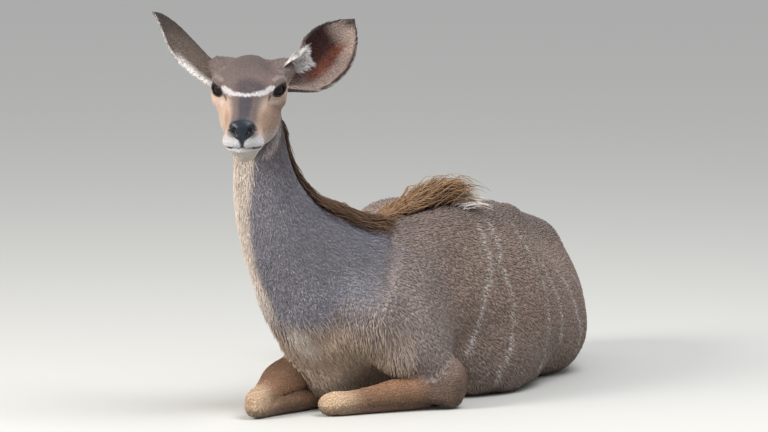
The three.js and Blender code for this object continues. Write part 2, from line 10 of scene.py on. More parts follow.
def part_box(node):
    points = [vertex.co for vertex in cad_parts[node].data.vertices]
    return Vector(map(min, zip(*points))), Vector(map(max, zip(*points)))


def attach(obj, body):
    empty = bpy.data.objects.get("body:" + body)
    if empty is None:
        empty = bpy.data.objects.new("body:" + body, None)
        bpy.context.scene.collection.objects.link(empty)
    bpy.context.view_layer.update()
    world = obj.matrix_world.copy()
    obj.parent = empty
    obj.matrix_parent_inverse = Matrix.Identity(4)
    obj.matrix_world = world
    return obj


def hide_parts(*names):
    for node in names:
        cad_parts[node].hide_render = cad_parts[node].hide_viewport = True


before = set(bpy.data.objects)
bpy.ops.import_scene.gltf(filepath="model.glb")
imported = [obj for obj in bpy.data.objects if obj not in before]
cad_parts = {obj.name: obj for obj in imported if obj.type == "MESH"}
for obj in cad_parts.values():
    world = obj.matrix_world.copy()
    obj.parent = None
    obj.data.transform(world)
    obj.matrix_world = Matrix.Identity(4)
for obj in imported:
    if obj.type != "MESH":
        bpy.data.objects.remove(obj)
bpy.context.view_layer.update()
bpy.ops.object.select_all(action="DESELECT")


# The camera stands low and far off, in front of her and a little to her left. Places are given in
# millimetres on her own drawing, whose origin lies under her withers, and at() sets them in the
# frame, in metres.
DRAWING_SHIFT = np.array([20.98, -261.96, 0.0])
CAMERA_PLACE = (5306.9, -10639.5, 1684.0)
CAMERA_TURN, CAMERA_RISE = math.radians(26), math.radians(6)
CAMERA_LENS, SENSOR_WIDTH, SIGHT_END = 244.57, 36, 200


def at(x, y, z):
    return Vector((np.array([x, y, z]) + DRAWING_SHIFT) / 1000)


camera_way = Vector((
    math.sin(CAMERA_TURN) * math.cos(CAMERA_RISE),
    -math.cos(CAMERA_TURN) * math.cos(CAMERA_RISE),
    math.sin(CAMERA_RISE),
))
bpy.ops.object.camera_add(location=at(*CAMERA_PLACE))
camera = bpy.context.object
camera.name = "camera"
camera.rotation_mode = "QUATERNION"
camera.rotation_quaternion = (-camera_way).to_track_quat("-Z", "Y")
camera.data.sensor_width = SENSOR_WIDTH
camera.data.lens = CAMERA_LENS
camera.data.clip_end = SIGHT_END
bpy.context.scene.camera = camera
bpy.context.scene.view_settings.view_transform = "Standard"


# The studio: a wide pale floor, a pale room round it, one broad soft light in front of her and to her
# right, which is where the daylight came from, and a weaker one high up on her left.
ROOM_COLOUR, ROOM_STRENGTH = (0.93, 0.96, 1.0, 1), 0.78
FLOOR_WIDTH, FLOOR_COLOUR, FLOOR_ROUGHNESS = 90, (0.50, 0.49, 0.46, 1), 0.85


def soft_light(name, place, aim, size, power, colour):
    bpy.ops.object.light_add(type="AREA", location=place)
    light = bpy.context.object
    light.name = name
    light.data.shape = "DISK"
    light.data.size, light.data.energy, light.data.color = size, power, colour
    light.rotation_mode = "QUATERNION"
    light.rotation_quaternion = (Vector(aim) - light.location).to_track_quat("-Z", "Y")


soft_light("key", place=(-2.7, -5.0, 3.3), aim=(0, -0.1, 0.35), size=2.4, power=450,
           colour=(1.0, 0.965, 0.92))
soft_light("sky", place=(2.2, -0.6, 4.4), aim=(0.1, 0.1, 0.2), size=3.0, power=190,
           colour=(0.95, 0.97, 1.0))

room = bpy.data.worlds.new("room")
bpy.context.scene.world = room
room.use_nodes = True
room.node_tree.nodes["Background"].inputs["Color"].default_value = ROOM_COLOUR
room.node_tree.nodes["Background"].inputs["Strength"].default_value = ROOM_STRENGTH

bpy.ops.mesh.primitive_plane_add(size=FLOOR_WIDTH, location=(0, 20, 0))
floor = bpy.context.object
floor.name = "floor"
floor_paint = bpy.data.materials.new("floor_paint")
floor_paint.use_nodes = True
floor_shader = floor_paint.node_tree.nodes["Principled BSDF"]
floor_shader.inputs["Base Color"].default_value = FLOOR_COLOUR
floor_shader.inputs["Roughness"].default_value = FLOOR_ROUGHNESS
floor.data.materials.append(floor_paint)
bpy.ops.object.transform_apply(location=True)
bpy.ops.object.select_all(action="DESELECT")


# Her hide, in one skin from the nose to the tail. The trunk and the tail are drawn over the solids by
# feeling for the flesh under their locks of hair. The body's skin lies a few millimetres inside the
# solids, which is the depth of its coat, and the finer face lies on them.
BODY_LINE = [
    (-80, -262, 742), (-80, -252, 670), (-76, -236, 580), (-69, -211, 492), (-52, -158, 405), (-20, -86, 335),
    (20, 20, 276), (60, 150, 234), (92, 310, 206), (98, 490, 190), (68, 680, 185), (30, 830, 180),
]
BODY_UP = (0, 1, 1)
TAIL_LINE = [(78, 912, 285), (98, 985, 215), (104, 1018, 120), (92, 1034, 45), (50, 1046, 16)]
TAIL_UP = (0, 1, 0.3)
COAT_DEPTH = 0.0035
HIDE_GRAIN, FACE_GRAIN = 0.0080, 0.0031
LEG_SWELL, FACE_SWELL, EAR_SWELL, SKULL_SWELL = 0.0007, 0.0006, 0.0009, -0.007
LOWEST_SKIN, GROUND_FADE, LEAST_DEPTH = 0.0012, 0.04, 0.25
RAY_NUDGE, RAY_END, RAY_TRIES, FARTHEST = 0.0003, 0.004, 6, 2.0
CAP_TILT, FILL_ROUNDS, LEDGE = 84, 400, 0.0015


def unit(vectors):
    return vectors / np.maximum(np.linalg.norm(vectors, axis=-1, keepdims=True), 1e-9)


def steps_of(line):
    """How far along a line each of its places is."""
    return np.r_[0, np.cumsum(np.linalg.norm(np.diff(line, axis=0), axis=1))]


def places_at(wanted, steps, line):
    return np.stack([np.interp(wanted, steps, line[:, k]) for k in range(3)], 1)


def way_along(line, count, fine=400, rounds=160):
    """Even points on a smooth way through a few places of the drawing, in metres."""
    corners = (np.array(line, float) + DRAWING_SHIFT) / 1000
    steps = steps_of(corners)
    way = places_at(np.linspace(0, steps[-1], fine), steps, corners)
    for _ in range(rounds):
        way[1:-1] += 0.5 * (0.5 * (way[:-2] + way[2:]) - way[1:-1])
    steps = steps_of(way)
    return places_at(np.linspace(0, steps[-1], count), steps, way)


def frames_along(way, up):
    run = unit(np.gradient(way, axis=0))
    up = np.array(up, float)
    up = unit(up - run * (run @ up)[:, None])
    return run, up, np.cross(run, up)


def values_of(items, name, width, kind=np.float32):
    """One value of all the vertices, edges, loops or map places of a mesh, in rows."""
    flat = np.empty(len(items) * width, kind)
    items.foreach_get(name, flat)
    return flat.reshape(-1, width)


def coords_of(mesh):
    return values_of(mesh.vertices, "co", 3).astype(float)


def normals_of(mesh):
    return values_of(mesh.vertices, "normal", 3).astype(float)


def set_coords(mesh, points):
    mesh.vertices.foreach_set("co", points.astype(np.float32).ravel())
    mesh.update()


def linked(name, mesh):
    piece = bpy.data.objects.new(name, mesh)
    bpy.context.collection.objects.link(piece)
    return piece


def only(piece):
    bpy.ops.object.select_all(action="DESELECT")
    piece.select_set(True)
    bpy.context.view_layer.objects.active = piece


def merged(*names):
    """A merged copy of a few solids."""
    form = bmesh.new()
    for name in names:
        form.from_mesh(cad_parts[name].data)
    bmesh.ops.remove_doubles(form, verts=form.verts[:], dist=0.00001)
    form.normal_update()
    return form


def flesh_edge(tree, centre, out, reach, thinnest):
    """How far out from a centre the flesh ends. The ray comes in from outside, past the thin locks."""
    start, left = Vector(centre + out * reach), reach
    centre, way_in = Vector(centre), Vector(-out)
    for _ in range(RAY_TRIES):
        place = tree.ray_cast(start, way_in, left)[0]
        if place is None:
            break
        leaves, _, _, thickness = tree.ray_cast(place + way_in * RAY_NUDGE, way_in, FARTHEST)
        if leaves is None or thickness > thinnest:
            return (place - centre).length
        start = leaves + way_in * RAY_NUDGE
        left = (start - centre).length
        if (centre - start).dot(way_in) < RAY_END:
            break
    return np.nan


def felt(name, nodes, line, up, rings, around, caps, thinnest, reach, skip=0):
    """A closed skin over the flesh of some solids, felt for along rays towards a line inside them."""
    form = merged(*nodes)
    tree = BVHTree.FromBMesh(form)
    form.free()
    way = way_along(line, rings)
    stands = list(zip(way, *frames_along(way, up)))[skip:]
    tilts = np.radians(np.linspace(CAP_TILT, 0, caps, endpoint=False))
    (first, back, rise, side), last = stands[0], stands[-1]
    stations = [(first, -back, rise, side, tilt) for tilt in tilts]
    stations += [(*stand, 0.0) for stand in stands]
    stations += [(*last, tilt) for tilt in tilts[::-1]]
    count = len(stations)
    far, ways = np.empty((count, around)), np.empty((count, around, 3))
    for i, (centre, ahead, high, beside, tilt) in enumerate(stations):
        for j, turn in enumerate(np.linspace(0, 2 * np.pi, around, endpoint=False)):
            out = np.cos(tilt) * (np.cos(turn) * high + np.sin(turn) * beside) + np.sin(tilt) * ahead
            ways[i, j], far[i, j] = out, flesh_edge(tree, centre, out, reach, thinnest)

    # Gaps take the depth round about them, and no place stands out from its ring by more than a ledge.
    known = ~np.isnan(far)
    full = np.where(known, far, np.nanmean(far))
    for _ in range(FILL_ROUNDS):
        near = 0.25 * (np.roll(full, 1, 1) + np.roll(full, -1, 1))
        near += 0.25 * (np.r_[full[:1], full[:-1]] + np.r_[full[1:], full[-1:]])
        full = np.where(known, far, near)
    shelf = np.median([np.roll(full, k, 1) for k in (-2, -1, 0, 1, 2)], axis=0)
    full = np.minimum(full, shelf + LEDGE)
    centres = np.array([station[0] for station in stations])
    points = (centres[:, None] + ways * full[..., None]).reshape(-1, 3)
    faces = [
        tuple((i + ring) * around + (j + on) % around for ring, on in [(0, 0), (0, 1), (1, 1), (1, 0)])
        for i in range(count - 1) for j in range(around)
    ]
    faces += [tuple(range(around))[::-1], tuple((count - 1) * around + j for j in range(around))]
    mesh = bpy.data.meshes.new(name)
    mesh.from_pydata([tuple(p) for p in points], [], faces)
    piece = linked(name, mesh)
    only(piece)
    bpy.ops.object.mode_set(mode="EDIT")
    bpy.ops.mesh.select_all(action="SELECT")
    bpy.ops.mesh.normals_make_consistent(inside=False)
    bpy.ops.object.mode_set(mode="OBJECT")
    return piece


def flesh_of(name, swell):
    form = merged(name)
    for corner in form.verts:
        corner.co += corner.normal * swell
    mesh = bpy.data.meshes.new(name + "_flesh")
    form.to_mesh(mesh)
    form.free()
    return linked(name + "_flesh", mesh)


def joined(pieces, name):
    only(pieces[0])
    for piece in pieces[1:]:
        piece.select_set(True)
    bpy.ops.object.join()
    pieces[0].name = name
    return pieces[0]


def recast(piece, grain):
    """One even surface round all that the piece holds."""
    only(piece)
    piece.data.remesh_voxel_size = grain
    piece.data.remesh_voxel_adaptivity = 0
    bpy.ops.object.voxel_remesh()


def modified(piece, kind, **settings):
    only(piece)
    modifier = piece.modifiers.new(kind.lower(), kind)
    for key, value in settings.items():
        setattr(modifier, key, value)
    bpy.ops.object.modifier_apply(modifier=modifier.name)


def softened(piece, rounds, factor=0.5, group=""):
    modified(piece, "SMOOTH", factor=factor, iterations=rounds, vertex_group=group)


def softened_above(piece, level, rounds, shades=20):
    """The piece softened, but not below a level, so that it stays flat on the ground."""
    group = piece.vertex_groups.new(name="above_ground")
    weights = np.clip((coords_of(piece.data)[:, 2] - level * 0.5) / level, 0, 1)
    weights = np.round(weights * shades).astype(int)
    for shade in range(1, shades + 1):
        group.add(np.flatnonzero(weights == shade).tolist(), shade / shades, "REPLACE")
    softened(piece, rounds, group="above_ground")
    piece.vertex_groups.clear()


def pressed(points, normals, place, size, depth):
    """Flesh pushed in, or out where the depth is negative, round a place of the drawing."""
    gone = np.linalg.norm((points - np.array(at(*place))) / (np.array(size) / 1000), axis=1)
    return points - normals * (depth / 1000 * np.exp(-gone * gone))[:, None]


trunk = felt("trunk", ["torso", "neck"], BODY_LINE, BODY_UP, rings=150, around=96, caps=16, thinnest=0.026,
             reach=0.75, skip=6)
rump_tail = felt("rump_tail", ["tail"], TAIL_LINE, TAIL_UP, rings=44, around=16, caps=4, thinnest=0.0095,
                 reach=0.12)
legs = [flesh_of(f"{pair}leg_{side}", LEG_SWELL) for pair in ("fore", "hind") for side in ("left", "right")]
softened(trunk, 6)
hide = joined([trunk, rump_tail, *legs, flesh_of("head", SKULL_SWELL)], "hide")
recast(hide, HIDE_GRAIN)
softened_above(hide, level=0.012, rounds=3)
softened_above(hide, level=0.03, rounds=4)

# Where the skin sinks or swells: the place, how far it spreads each way, and how deep it goes.
PRESSES = {
    "hollow of the flank": ((257, 650, 330), (100, 150, 90), 26),
    "thigh on the ground": ((292, 715, 90), (90, 110, 90), -12),
    "breast": ((-34, -136, 74), (80, 76, 30), -22),
    "breast on the ground": ((-22, -140, 32), (80, 76, 24), -15),
    "crook of the foreleg": ((182, -62, 118), (56, 46, 34), -17),
    "shoulder": ((240, 120, 330), (60, 90, 70), -5),
}
points, normals = coords_of(hide.data), normals_of(hide.data)
points = points - normals * np.clip(points[:, 2:] / GROUND_FADE, LEAST_DEPTH, 1) * COAT_DEPTH
for place, size, depth in PRESSES.values():
    points = pressed(points, normals, place, size, depth)
points[:, 2] = np.maximum(points[:, 2], LOWEST_SKIN)
set_coords(hide.data, points)

ears = [flesh_of(name, EAR_SWELL) for name in ("ear_left", "ear_right")]
face = joined([flesh_of("head", FACE_SWELL), *ears], "face")
recast(face, FACE_GRAIN)
softened(face, 3)


# The fine forms of the face are sunk, or raised where the depth is negative, along short lines on both
# sides of it. Each has its line, in millimetres from between the eyes, its width and its depth.
HEAD_AT = (np.array([-40.0, -364.0, 750.0]) + DRAWING_SHIFT) / 1000
turned, dipped = math.radians(23), math.radians(16)
HEAD_WAYS = np.array([
    [math.cos(turned), -math.sin(turned), 0], [math.sin(turned), math.cos(turned), 0], [0, 0, 1],
]) @ np.array([
    [1, 0, 0], [0, math.cos(dipped), -math.sin(dipped)], [0, math.sin(dipped), math.cos(dipped)],
])
MOUTH = [(0, -211, -60), (20, -203, -61), (38, -183, -65), (45, -150, -74), (42, -118, -81)]
FACE_FORMS = {
    "mouth": (MOUTH, 2.8, 4.2),
    "upper lip": ([(12, -210, -47), (26, -201, -50), (38, -184, -53)], 9, -2.6),
    "lower lip": ([(0, -205, -71), (22, -194, -73), (38, -166, -80)], 8, -1.4),
    "groove under the nose": ([(0, -214, -32), (0, -213, -58)], 2.4, 2.4),
    "nostril": (
        [(12, -209, -27), (18, -208, -21), (26, -200, -17), (31, -191, -19), (32, -184, -23)], 3.4, 4.6),
    "edge of the nose pad": ([(30, -182, -8), (33, -188, -26), (22, -204, -37), (8, -212, -45)], 2.2, 1.2),
    "wing of the nose": ([(14, -205, -8), (22, -196, -6)], 8, -1.6),
    "fold over the eye": ([(48, -38, 14), (58, -24, 23), (74, -2, 25), (85, 20, 13)], 2.8, 1.8),
    "brow": ([(46, -46, 23), (62, -22, 34), (82, 12, 30)], 9, -1.6),
    "fold under the eye": ([(50, -42, -10), (66, -18, -18), (80, 8, -15)], 3.0, 1.6),
    "hollow before the eye": ([(45, -50, -14), (38, -86, -24), (34, -120, -30)], 6, 1.6),
    "cheek bone": ([(57, -20, -44), (54, -60, -50), (46, -100, -54)], 12, -1.6),
    "corner of the mouth": ([(40, -196, -66), (44, -168, -72)], 3, 1.0),
}
EAR_BASE, EAR_BASE_SIZE, EAR_BASE_DEPTH = [58, 60, 48], [24, 30, 20], 0.0105


def on_head(points):
    """Millimetres to the left, back and up from between the eyes."""
    return (points - HEAD_AT) @ HEAD_WAYS * 1000


def both_sides(local):
    """Places on the head with its right half laid over its left."""
    return np.c_[np.abs(local[:, 0]), local[:, 1:]]


def nearest_on(points, line):
    """The distance to a line through a few places, how far along it, 0 to 1, and the way it runs there."""
    line = np.array(line, float)
    best, share, way = np.full(len(points), 1e9), np.zeros(len(points)), np.zeros((len(points), 3))
    for k in range(len(line) - 1):
        step = line[k + 1] - line[k]
        t = np.clip((points - line[k]) @ step / (step @ step), 0, 1)
        gone = np.linalg.norm(points - line[k] - t[:, None] * step, axis=1)
        nearer = gone < best
        best = np.where(nearer, gone, best)
        share = np.where(nearer, (k + t) / (len(line) - 1), share)
        way[nearer] = step / np.linalg.norm(step)
    return best, share, way


def off_line(points, line):
    return nearest_on(points, line)[0]


points, normals = coords_of(face.data), normals_of(face.data)
local = on_head(points)
sunk = np.zeros(len(points))
for line, wide, deep in FACE_FORMS.values():
    sunk += deep / 1000 * np.exp(-(off_line(both_sides(local), line) / wide) ** 2)
sunk += EAR_BASE_DEPTH * np.exp(-np.linalg.norm((local - EAR_BASE) / EAR_BASE_SIZE, axis=1) ** 2)
set_coords(face.data, points - normals * sunk[:, None])
softened(face, 1, 0.3)
modified(hide, "BOOLEAN", operation="UNION", solver="MANIFOLD", object=face)
bpy.data.objects.remove(face)
modified(hide, "TRIANGULATE")


# The markings of the coat, the same on the hide and on the hair over it: a blue grey neck, a pale
# throat, brown flanks with thin white stripes, tawny legs, and on the face a white chevron, a dark
# bridge, pale cheeks and pale lips. Some light and shade is painted in with them: painted shade on the
# left cheek, on the left ear's edge, on the far foreleg, under the near elbow, in the folds under the
# jaw, in the nostrils and in the mouth, and a painted reflection of the sky on the nose. Places are in
# millimetres on the drawing, or from between the eyes.
STRIPES = [
    [(210, 299, 395), (241, 271, 352), (263, 257, 310), (267, 231, 276), (267, 216, 238), (259, 206, 188),
     (247, 198, 146), (237, 187, 119)],
    [(217, 350, 393), (252, 320, 353), (271, 289, 312), (289, 295, 270), (299, 302, 223), (298, 310, 176),
     (297, 301, 128), (296, 280, 95), (293, 255, 70), (282, 256, 41)],
    [(226, 471, 386), (261, 444, 353), (293, 425, 314), (313, 428, 274), (325, 436, 229), (327, 449, 181),
     (319, 463, 129), (318, 450, 88), (315, 431, 50)],
    [(305, 468, 293), (323, 479, 243), (329, 507, 196), (322, 540, 146), (303, 571, 99)],
    [(310, 554, 268), (319, 593, 221), (317, 628, 170), (301, 677, 111), (288, 688, 70)],
    [(255, 640, 330), (285, 668, 270), (282, 706, 210), (262, 748, 150)],
]
STRIPE_SQUASH = np.array([0.55, 1, 1])
# Lines along the folds of the neck under the jaw, where shade is painted.
JAW_FOLDS = [
    [(-12, -262, 610), (-40, -290, 592), (-70, -292, 588)],
    [(-8, -240, 585), (-36, -276, 566), (-66, -286, 560)],
]
KNEES_AND_HOCKS = [(80, -186, 44), (-60, -306, 44), (128, 952, 60), (-292, 876, 70)]
ELBOW = (250, 40, 60)
BREAST_STAR = [(-2, -192, 172), (10, -180, 140)]
CHEVRON = [
    (-52, -27, 11), (-43, -36, 8), (-30, -52, 7), (-14, -68, 9), (0, -76, 10), (14, -68, 9), (30, -52, 7),
    (43, -36, 8), (52, -27, 11),
]
BROW = [(58, -11, 25), (71, 11, 25), (82, 39, 9)]
BELOW_EYE = [(46, -34, -18), (62, -18, -22), (78, 8, -20)]
NOSTRIL = [(13, -209, -26), (19, -208, -21), (26, -200, -17), (31, -191, -19)]
TEAR_LINE = [(48, -37, -3), (44, -43, -10)]
OUTER_LASHES = [(78, 10, 10), (83, 28, 6), (84, 44, 0)]
BEHIND_JAW = [(64, 88, -86), (65, 71, -114), (61, 52, -131), (52, 33, -149), (36, 16, -161)]
EAR_LEFT = [(50, 64, 0), (96, 87, 6), (130, 109, 10), (160, 141, 28), (200, 188, 62), (222, 223, 84)]
EAR_RIGHT = [
    (-48, 60, -3), (-86, 82, 13), (-126, 112, 28), (-162, 146, 49), (-199, 182, 77), (-228, 212, 102),
]
REGIONS = [
    "torso", "neck", "head", "ear_left", "ear_right", "foreleg_left", "foreleg_right", "hindleg_left",
    "hindleg_right", "tail",
]
TORSO, NECK, HEAD, EAR_L, EAR_R, FORE_L, FORE_R, HIND_L, HIND_R, TAIL = range(10)
LEGS = [FORE_L, FORE_R, HIND_L, HIND_R]

# Each ear with its spine, the way its cup opens and how wide it is beside the left one.
EARS = [(EAR_L, EAR_LEFT, (0.1, -0.96, 0.28), 1.0), (EAR_R, EAR_RIGHT, (-0.68, -0.12, -0.7), 0.8)]

# What changes along a part, as pairs: a place along it and the value there.
EAR_HALF_WIDTH = [
    (0, 26), (0.15, 36), (0.28, 46), (0.42, 58), (0.58, 60), (0.74, 52), (0.87, 35), (0.96, 17), (1, 4),
]
EAR_ROLL = [(0, 140), (0.15, 122), (0.28, 104), (0.42, 88), (0.58, 76), (0.74, 62), (0.87, 52), (1, 40)]
NOSE_HALF_WIDTH = [
    (-6, 18), (0, 24), (6, 29), (16, 32), (24, 31), (30, 24), (36, 15), (42, 8), (52, 5), (60, 8),
]
THROAT_EDGE = [(171, 178), (220, 189), (333, 189), (427, 182), (483, 176), (542, 168), (590, 160)]
GREY_EDGE = [(171, -178), (205, -160), (252, -138), (301, -66), (361, 8), (397, 50), (460, 90)]
MIDDLE_OF_BACK = [(150, 60), (310, 92), (490, 98), (680, 68), (830, 30)]


def read_off(value, pairs):
    return np.interp(value, *zip(*pairs))


def drawn(points):
    return points * 1000 - DRAWING_SHIFT


def ramp(value, low, high):
    t = np.clip((value - low) / (high - low), 0, 1)
    return t * t * (3 - 2 * t)


def tint(r, g, b):
    """A colour of the coat, given as it looks in a picture, as the light it gives back."""
    c = np.array([r, g, b]) / 255
    return np.where(c <= 0.04045, c / 12.92, ((c + 0.055) / 1.055) ** 2.4)


def over(base, colour, share):
    share = np.asarray(share, float)[..., None]
    return base * (1 - share) + colour * share


def layered(base, *layers):
    """A colour with others laid over it in turn, each by its share, 0 to 1, at every point."""
    for colour, share in layers:
        base = over(base, colour, share)
    return base


def mottle(points, size, seed):
    """Soft uneven patches, between 0 and 1, of about a given size in metres."""
    grid = points / size + seed * 17.31
    low = np.floor(grid).astype(np.int64)
    f = grid - low
    f = f * f * (3 - 2 * f)
    total = np.zeros(len(points))
    for dx, dy, dz in np.ndindex(2, 2, 2):
        h = (low[:, 0] + dx) * 73856093 ^ (low[:, 1] + dy) * 19349663 ^ (low[:, 2] + dz) * 83492791
        h = (h ^ seed * 2654435761) & 0xFFFFFFFF
        h = ((h ^ (h >> 15)) * 2246822519) & 0xFFFFFFFF
        h = ((h ^ (h >> 13)) & 0xFFFFFF) / 0xFFFFFF
        for axis, upper in enumerate((dx, dy, dz)):
            h = h * (f[:, axis] if upper else 1 - f[:, axis])
        total += h
    return total


body_way = way_along(BODY_LINE, 240)
body_run, body_rise, body_side = frames_along(body_way, BODY_UP)
body_tree = KDTree(len(body_way))
for k, place in enumerate(body_way):
    body_tree.insert(place, k)
body_tree.balance()


def round_body(points):
    """The nearest step of the body's line, and how far round it from the back, positive to the left."""
    near = np.array([body_tree.find(p)[1] for p in points])
    away = points - body_way[near]
    high = np.einsum("ij,ij->i", away, body_rise[near])
    beside = np.einsum("ij,ij->i", away, body_side[near])
    return near, np.arctan2(beside, high)


def ear_place(points, spine, opening, slim):
    """How far along the ear, how far round its roll from -1 to 1, and whether inside the cup."""
    local, line = on_head(points), np.array(spine, float)
    steps = steps_of(line)
    shares = steps / steps[-1]
    along = np.interp(nearest_on(local, spine)[1] * (len(line) - 1), range(len(line)), shares)
    centre = places_at(along, shares, line)
    run = unit(places_at(along, shares, np.gradient(line, steps, axis=0)))
    open_way = unit(np.array(opening, float) - run * (run @ np.array(opening, float))[:, None])
    side = np.cross(run, open_way)
    roll = np.radians(read_off(along, EAR_ROLL))
    radius = read_off(along, EAR_HALF_WIDTH) * slim / np.sin(np.minimum(roll, np.pi / 2))
    away = local - centre - open_way * (radius * 0.5)[:, None]
    across, down = np.einsum("ij,ij->i", away, side), -np.einsum("ij,ij->i", away, open_way)
    return along, np.arctan2(across, down) / roll, ramp(radius - np.hypot(across, down), -1.2, 1.2)


EYE_TURN = math.radians(44)
EYE_WAY = np.array([math.cos(EYE_TURN), math.sin(EYE_TURN), 0.0])
EYE_FACE = np.array([58 + 16 * math.sin(EYE_TURN), 2 - 16 * math.cos(EYE_TURN), 3.0])


def lid_edge(face):
    """The dark almond of the lids, from the tear corner up to the outer one."""
    both = both_sides(face) - EYE_FACE
    level = both @ EYE_WAY
    tall = both[:, 2] - 0.20 * level
    fullness, height = np.where(tall > 0, 0.62, 0.9), np.where(tall > 0, 14.5, 15.5)
    room = np.clip(1 - (level / 28) ** 2, 0, 1) ** fullness * height
    deep = both @ np.array([EYE_WAY[1], -EYE_WAY[0], 0])
    return ramp(room - np.abs(tall), 0, 2.5) * (np.abs(deep) < 26)


def nose_pad(face):
    """The bare wet skin of the nose: broad above, round the nostrils, and narrow down to the lip."""
    x, y, z = face.T
    across = ramp(read_off(-z, NOSE_HALF_WIDTH) - np.abs(x), 0, 3)
    return across * ramp(-y, 183, 191) * ramp(z, -62, -58) * ramp(5 - z, 0, 4)


def pale_throat(turn, z):
    """The pale strip under the neck, which winds a little as the neck turns."""
    away = np.degrees(turn) % 360 - read_off(z, THROAT_EDGE)
    return ramp(away, -5, 9) * ramp(64 - away, 0, 14)


def stripe_share(points, place, region):
    """Thin broken stripes down the flanks, the same on both."""
    x, y, z = place.T
    centre = read_off(y, MIDDLE_OF_BACK)
    mirror = np.stack([np.where(x < centre, 2 * centre - x, x), y, z], 1) * STRIPE_SQUASH
    stripe = np.min([off_line(mirror, np.array(line) * STRIPE_SQUASH) for line in STRIPES], axis=0)
    stripe = ramp(12 - stripe + (mottle(points, 0.009, 5) - 0.5) * 9, 0, 11)
    stripe = stripe * (region != HEAD) * ramp(y, 120, 180)
    return stripe * ramp(mottle(points, 0.0042, 6), 0.15, 0.65) * 0.68


def trunk_colour(place, steep):
    """Brown over the back and paler down the flanks and below, greyer on the shoulder."""
    return layered(
        tint(119, 104, 97),
        (tint(143, 125, 115), ramp(steep, 14, 48)),
        (tint(130, 114, 105), ramp(steep, 85, 125)),
        (tint(172, 150, 133), ramp(steep, 138, 165)),
        (tint(148, 135, 131), ramp(-place[:, 1], -190, 60) * ramp(160 - steep, 0, 30)),
    )


def neck_colour(steep, turn, z, grain):
    """Blue grey sides, darker up at the head and along the nape, and the pale throat."""
    return layered(
        tint(129, 126, 134),
        (tint(106, 100, 104), ramp(z, 480, 640)),
        (tint(126, 123, 129), ramp(steep, 60, 95) * ramp(150 - steep, 0, 30) * ramp(460 - z, 0, 140)),
        (tint(94, 84, 84), ramp(38 - steep, 0, 22)),
        (tint(222, 207, 194), pale_throat(turn, z) * ramp(z, 180, 300) * (0.75 + 0.25 * grain)),
        (tint(168, 148, 134), ramp(225 - z, 0, 80) * 0.75),
    )


def leg_colour(place, region):
    """Tawny, paler at the knees and hocks, darker above the hoofs, and painted in shade on the far foreleg.
    """
    z = place[:, 2]
    pale = [ramp(92 - np.linalg.norm(place - knee, axis=1), 0, 84) * 0.95 for knee in KNEES_AND_HOCKS]
    return layered(
        tint(136, 105, 83),
        (tint(176, 134, 104), ramp(z, 40, 80) * 0.7),
        # painted shade over the upper part of the far foreleg, which the key light would otherwise light
        (tint(124, 95, 75), (region == FORE_R) * ramp(z, 50, 90) * 0.85),
        *[(tint(212, 184, 154), share) for share in pale],
        (tint(84, 70, 62), ramp(30 - z, 0, 10) * 0.55),
    )


def face_colour(points, face, behind_jaw):
    """The whole of the head but its ears, from the forehead and cheeks to the marks round the eyes,
    with painted shade on the left cheek, in the nostrils and in the mouth, and a painted reflection on the
    nose.
    """
    x, y, z = face.T
    wide, both = np.abs(x), both_sides(face)
    over_chevron = ramp(40 - np.abs(x - 6), 0, 22) * ramp(32 - np.abs(y + 50), 0, 20) * ramp(z, 0, 12)
    chevron = 8.2 - off_line(face, CHEVRON) + (mottle(points, 0.004, 3) - 0.5) * 5
    return layered(
        tint(117, 102, 97),
        (tint(104, 91, 87), ramp(z, 34, 60)),
        (tint(204, 178, 160), ramp(-z, -10, 14) * ramp(wide, 20, 40)),
        (tint(178, 146, 124), ramp(-z, 12, 30) * ramp(60 - np.abs(y + 100), 0, 50) * ramp(wide, 18, 34)),
        # painted shade: the left cheek, turned away from the key light, is darkened
        (tint(144, 118, 104), ramp(x, 28, 58) * ramp(-z, -6, 26) * 0.85),
        (tint(176, 166, 160), ramp(-z, 70, 105)),
        (tint(148, 136, 134), ramp(y, 10, 60) * ramp(-z, 10, 40)),
        (tint(196, 184, 176), ramp(12 - np.abs(y - 48 + 0.25 * z), 0, 10) * ramp(-z, 20, 50) * 0.8),
        # the dark bridge of the nose and the dark forehead over the chevron
        (tint(78, 73, 78), ramp(22 - wide - 0.05 * (-y - 80), 0, 12) * ramp(-y, 72, 88) * ramp(z, -34, -18)),
        (tint(84, 75, 78), over_chevron * 0.85),
        (tint(206, 200, 200), ramp(chevron, 0, 4)),
        # pale above and below the eyes
        (tint(186, 172, 164), ramp(9 - off_line(both, BROW), 0, 9) * 0.45),
        (tint(206, 194, 188), ramp(9 - off_line(both, BELOW_EYE), 0, 7) * 0.6),
        # the lips, the chin, the nose and the mouth
        (tint(206, 206, 208), ramp(-z, 30, 40) * ramp(76 + z, 0, 8) * ramp(-y, 168, 186) * 0.9),
        (tint(190, 180, 170), ramp(-z, 68, 76) * ramp(-y, 120, 150)),
        # the nose pad's near black is tinged blue, a painted reflection of the sky on the wet skin
        (tint(28, 34, 43), nose_pad(face)),
        # painted shade in the nostrils and in the slit of the mouth
        (tint(12, 12, 14), ramp(6.5 - off_line(both, NOSTRIL), 0, 2.5)),
        (tint(34, 28, 28), ramp(4.6 - off_line(both, MOUTH), 0, 2.2)),
        # the lids, the tear line and the lashes
        (tint(14, 11, 12), lid_edge(face)),
        (tint(52, 42, 40), ramp(4.8 - off_line(both, TEAR_LINE), 0, 3) * 0.85),
        (tint(46, 38, 36), ramp(4.2 - off_line(both, OUTER_LASHES), 0, 3) * 0.8),
        (tint(206, 194, 186), ramp(14 - behind_jaw, 0, 10) * 0.75),
    )


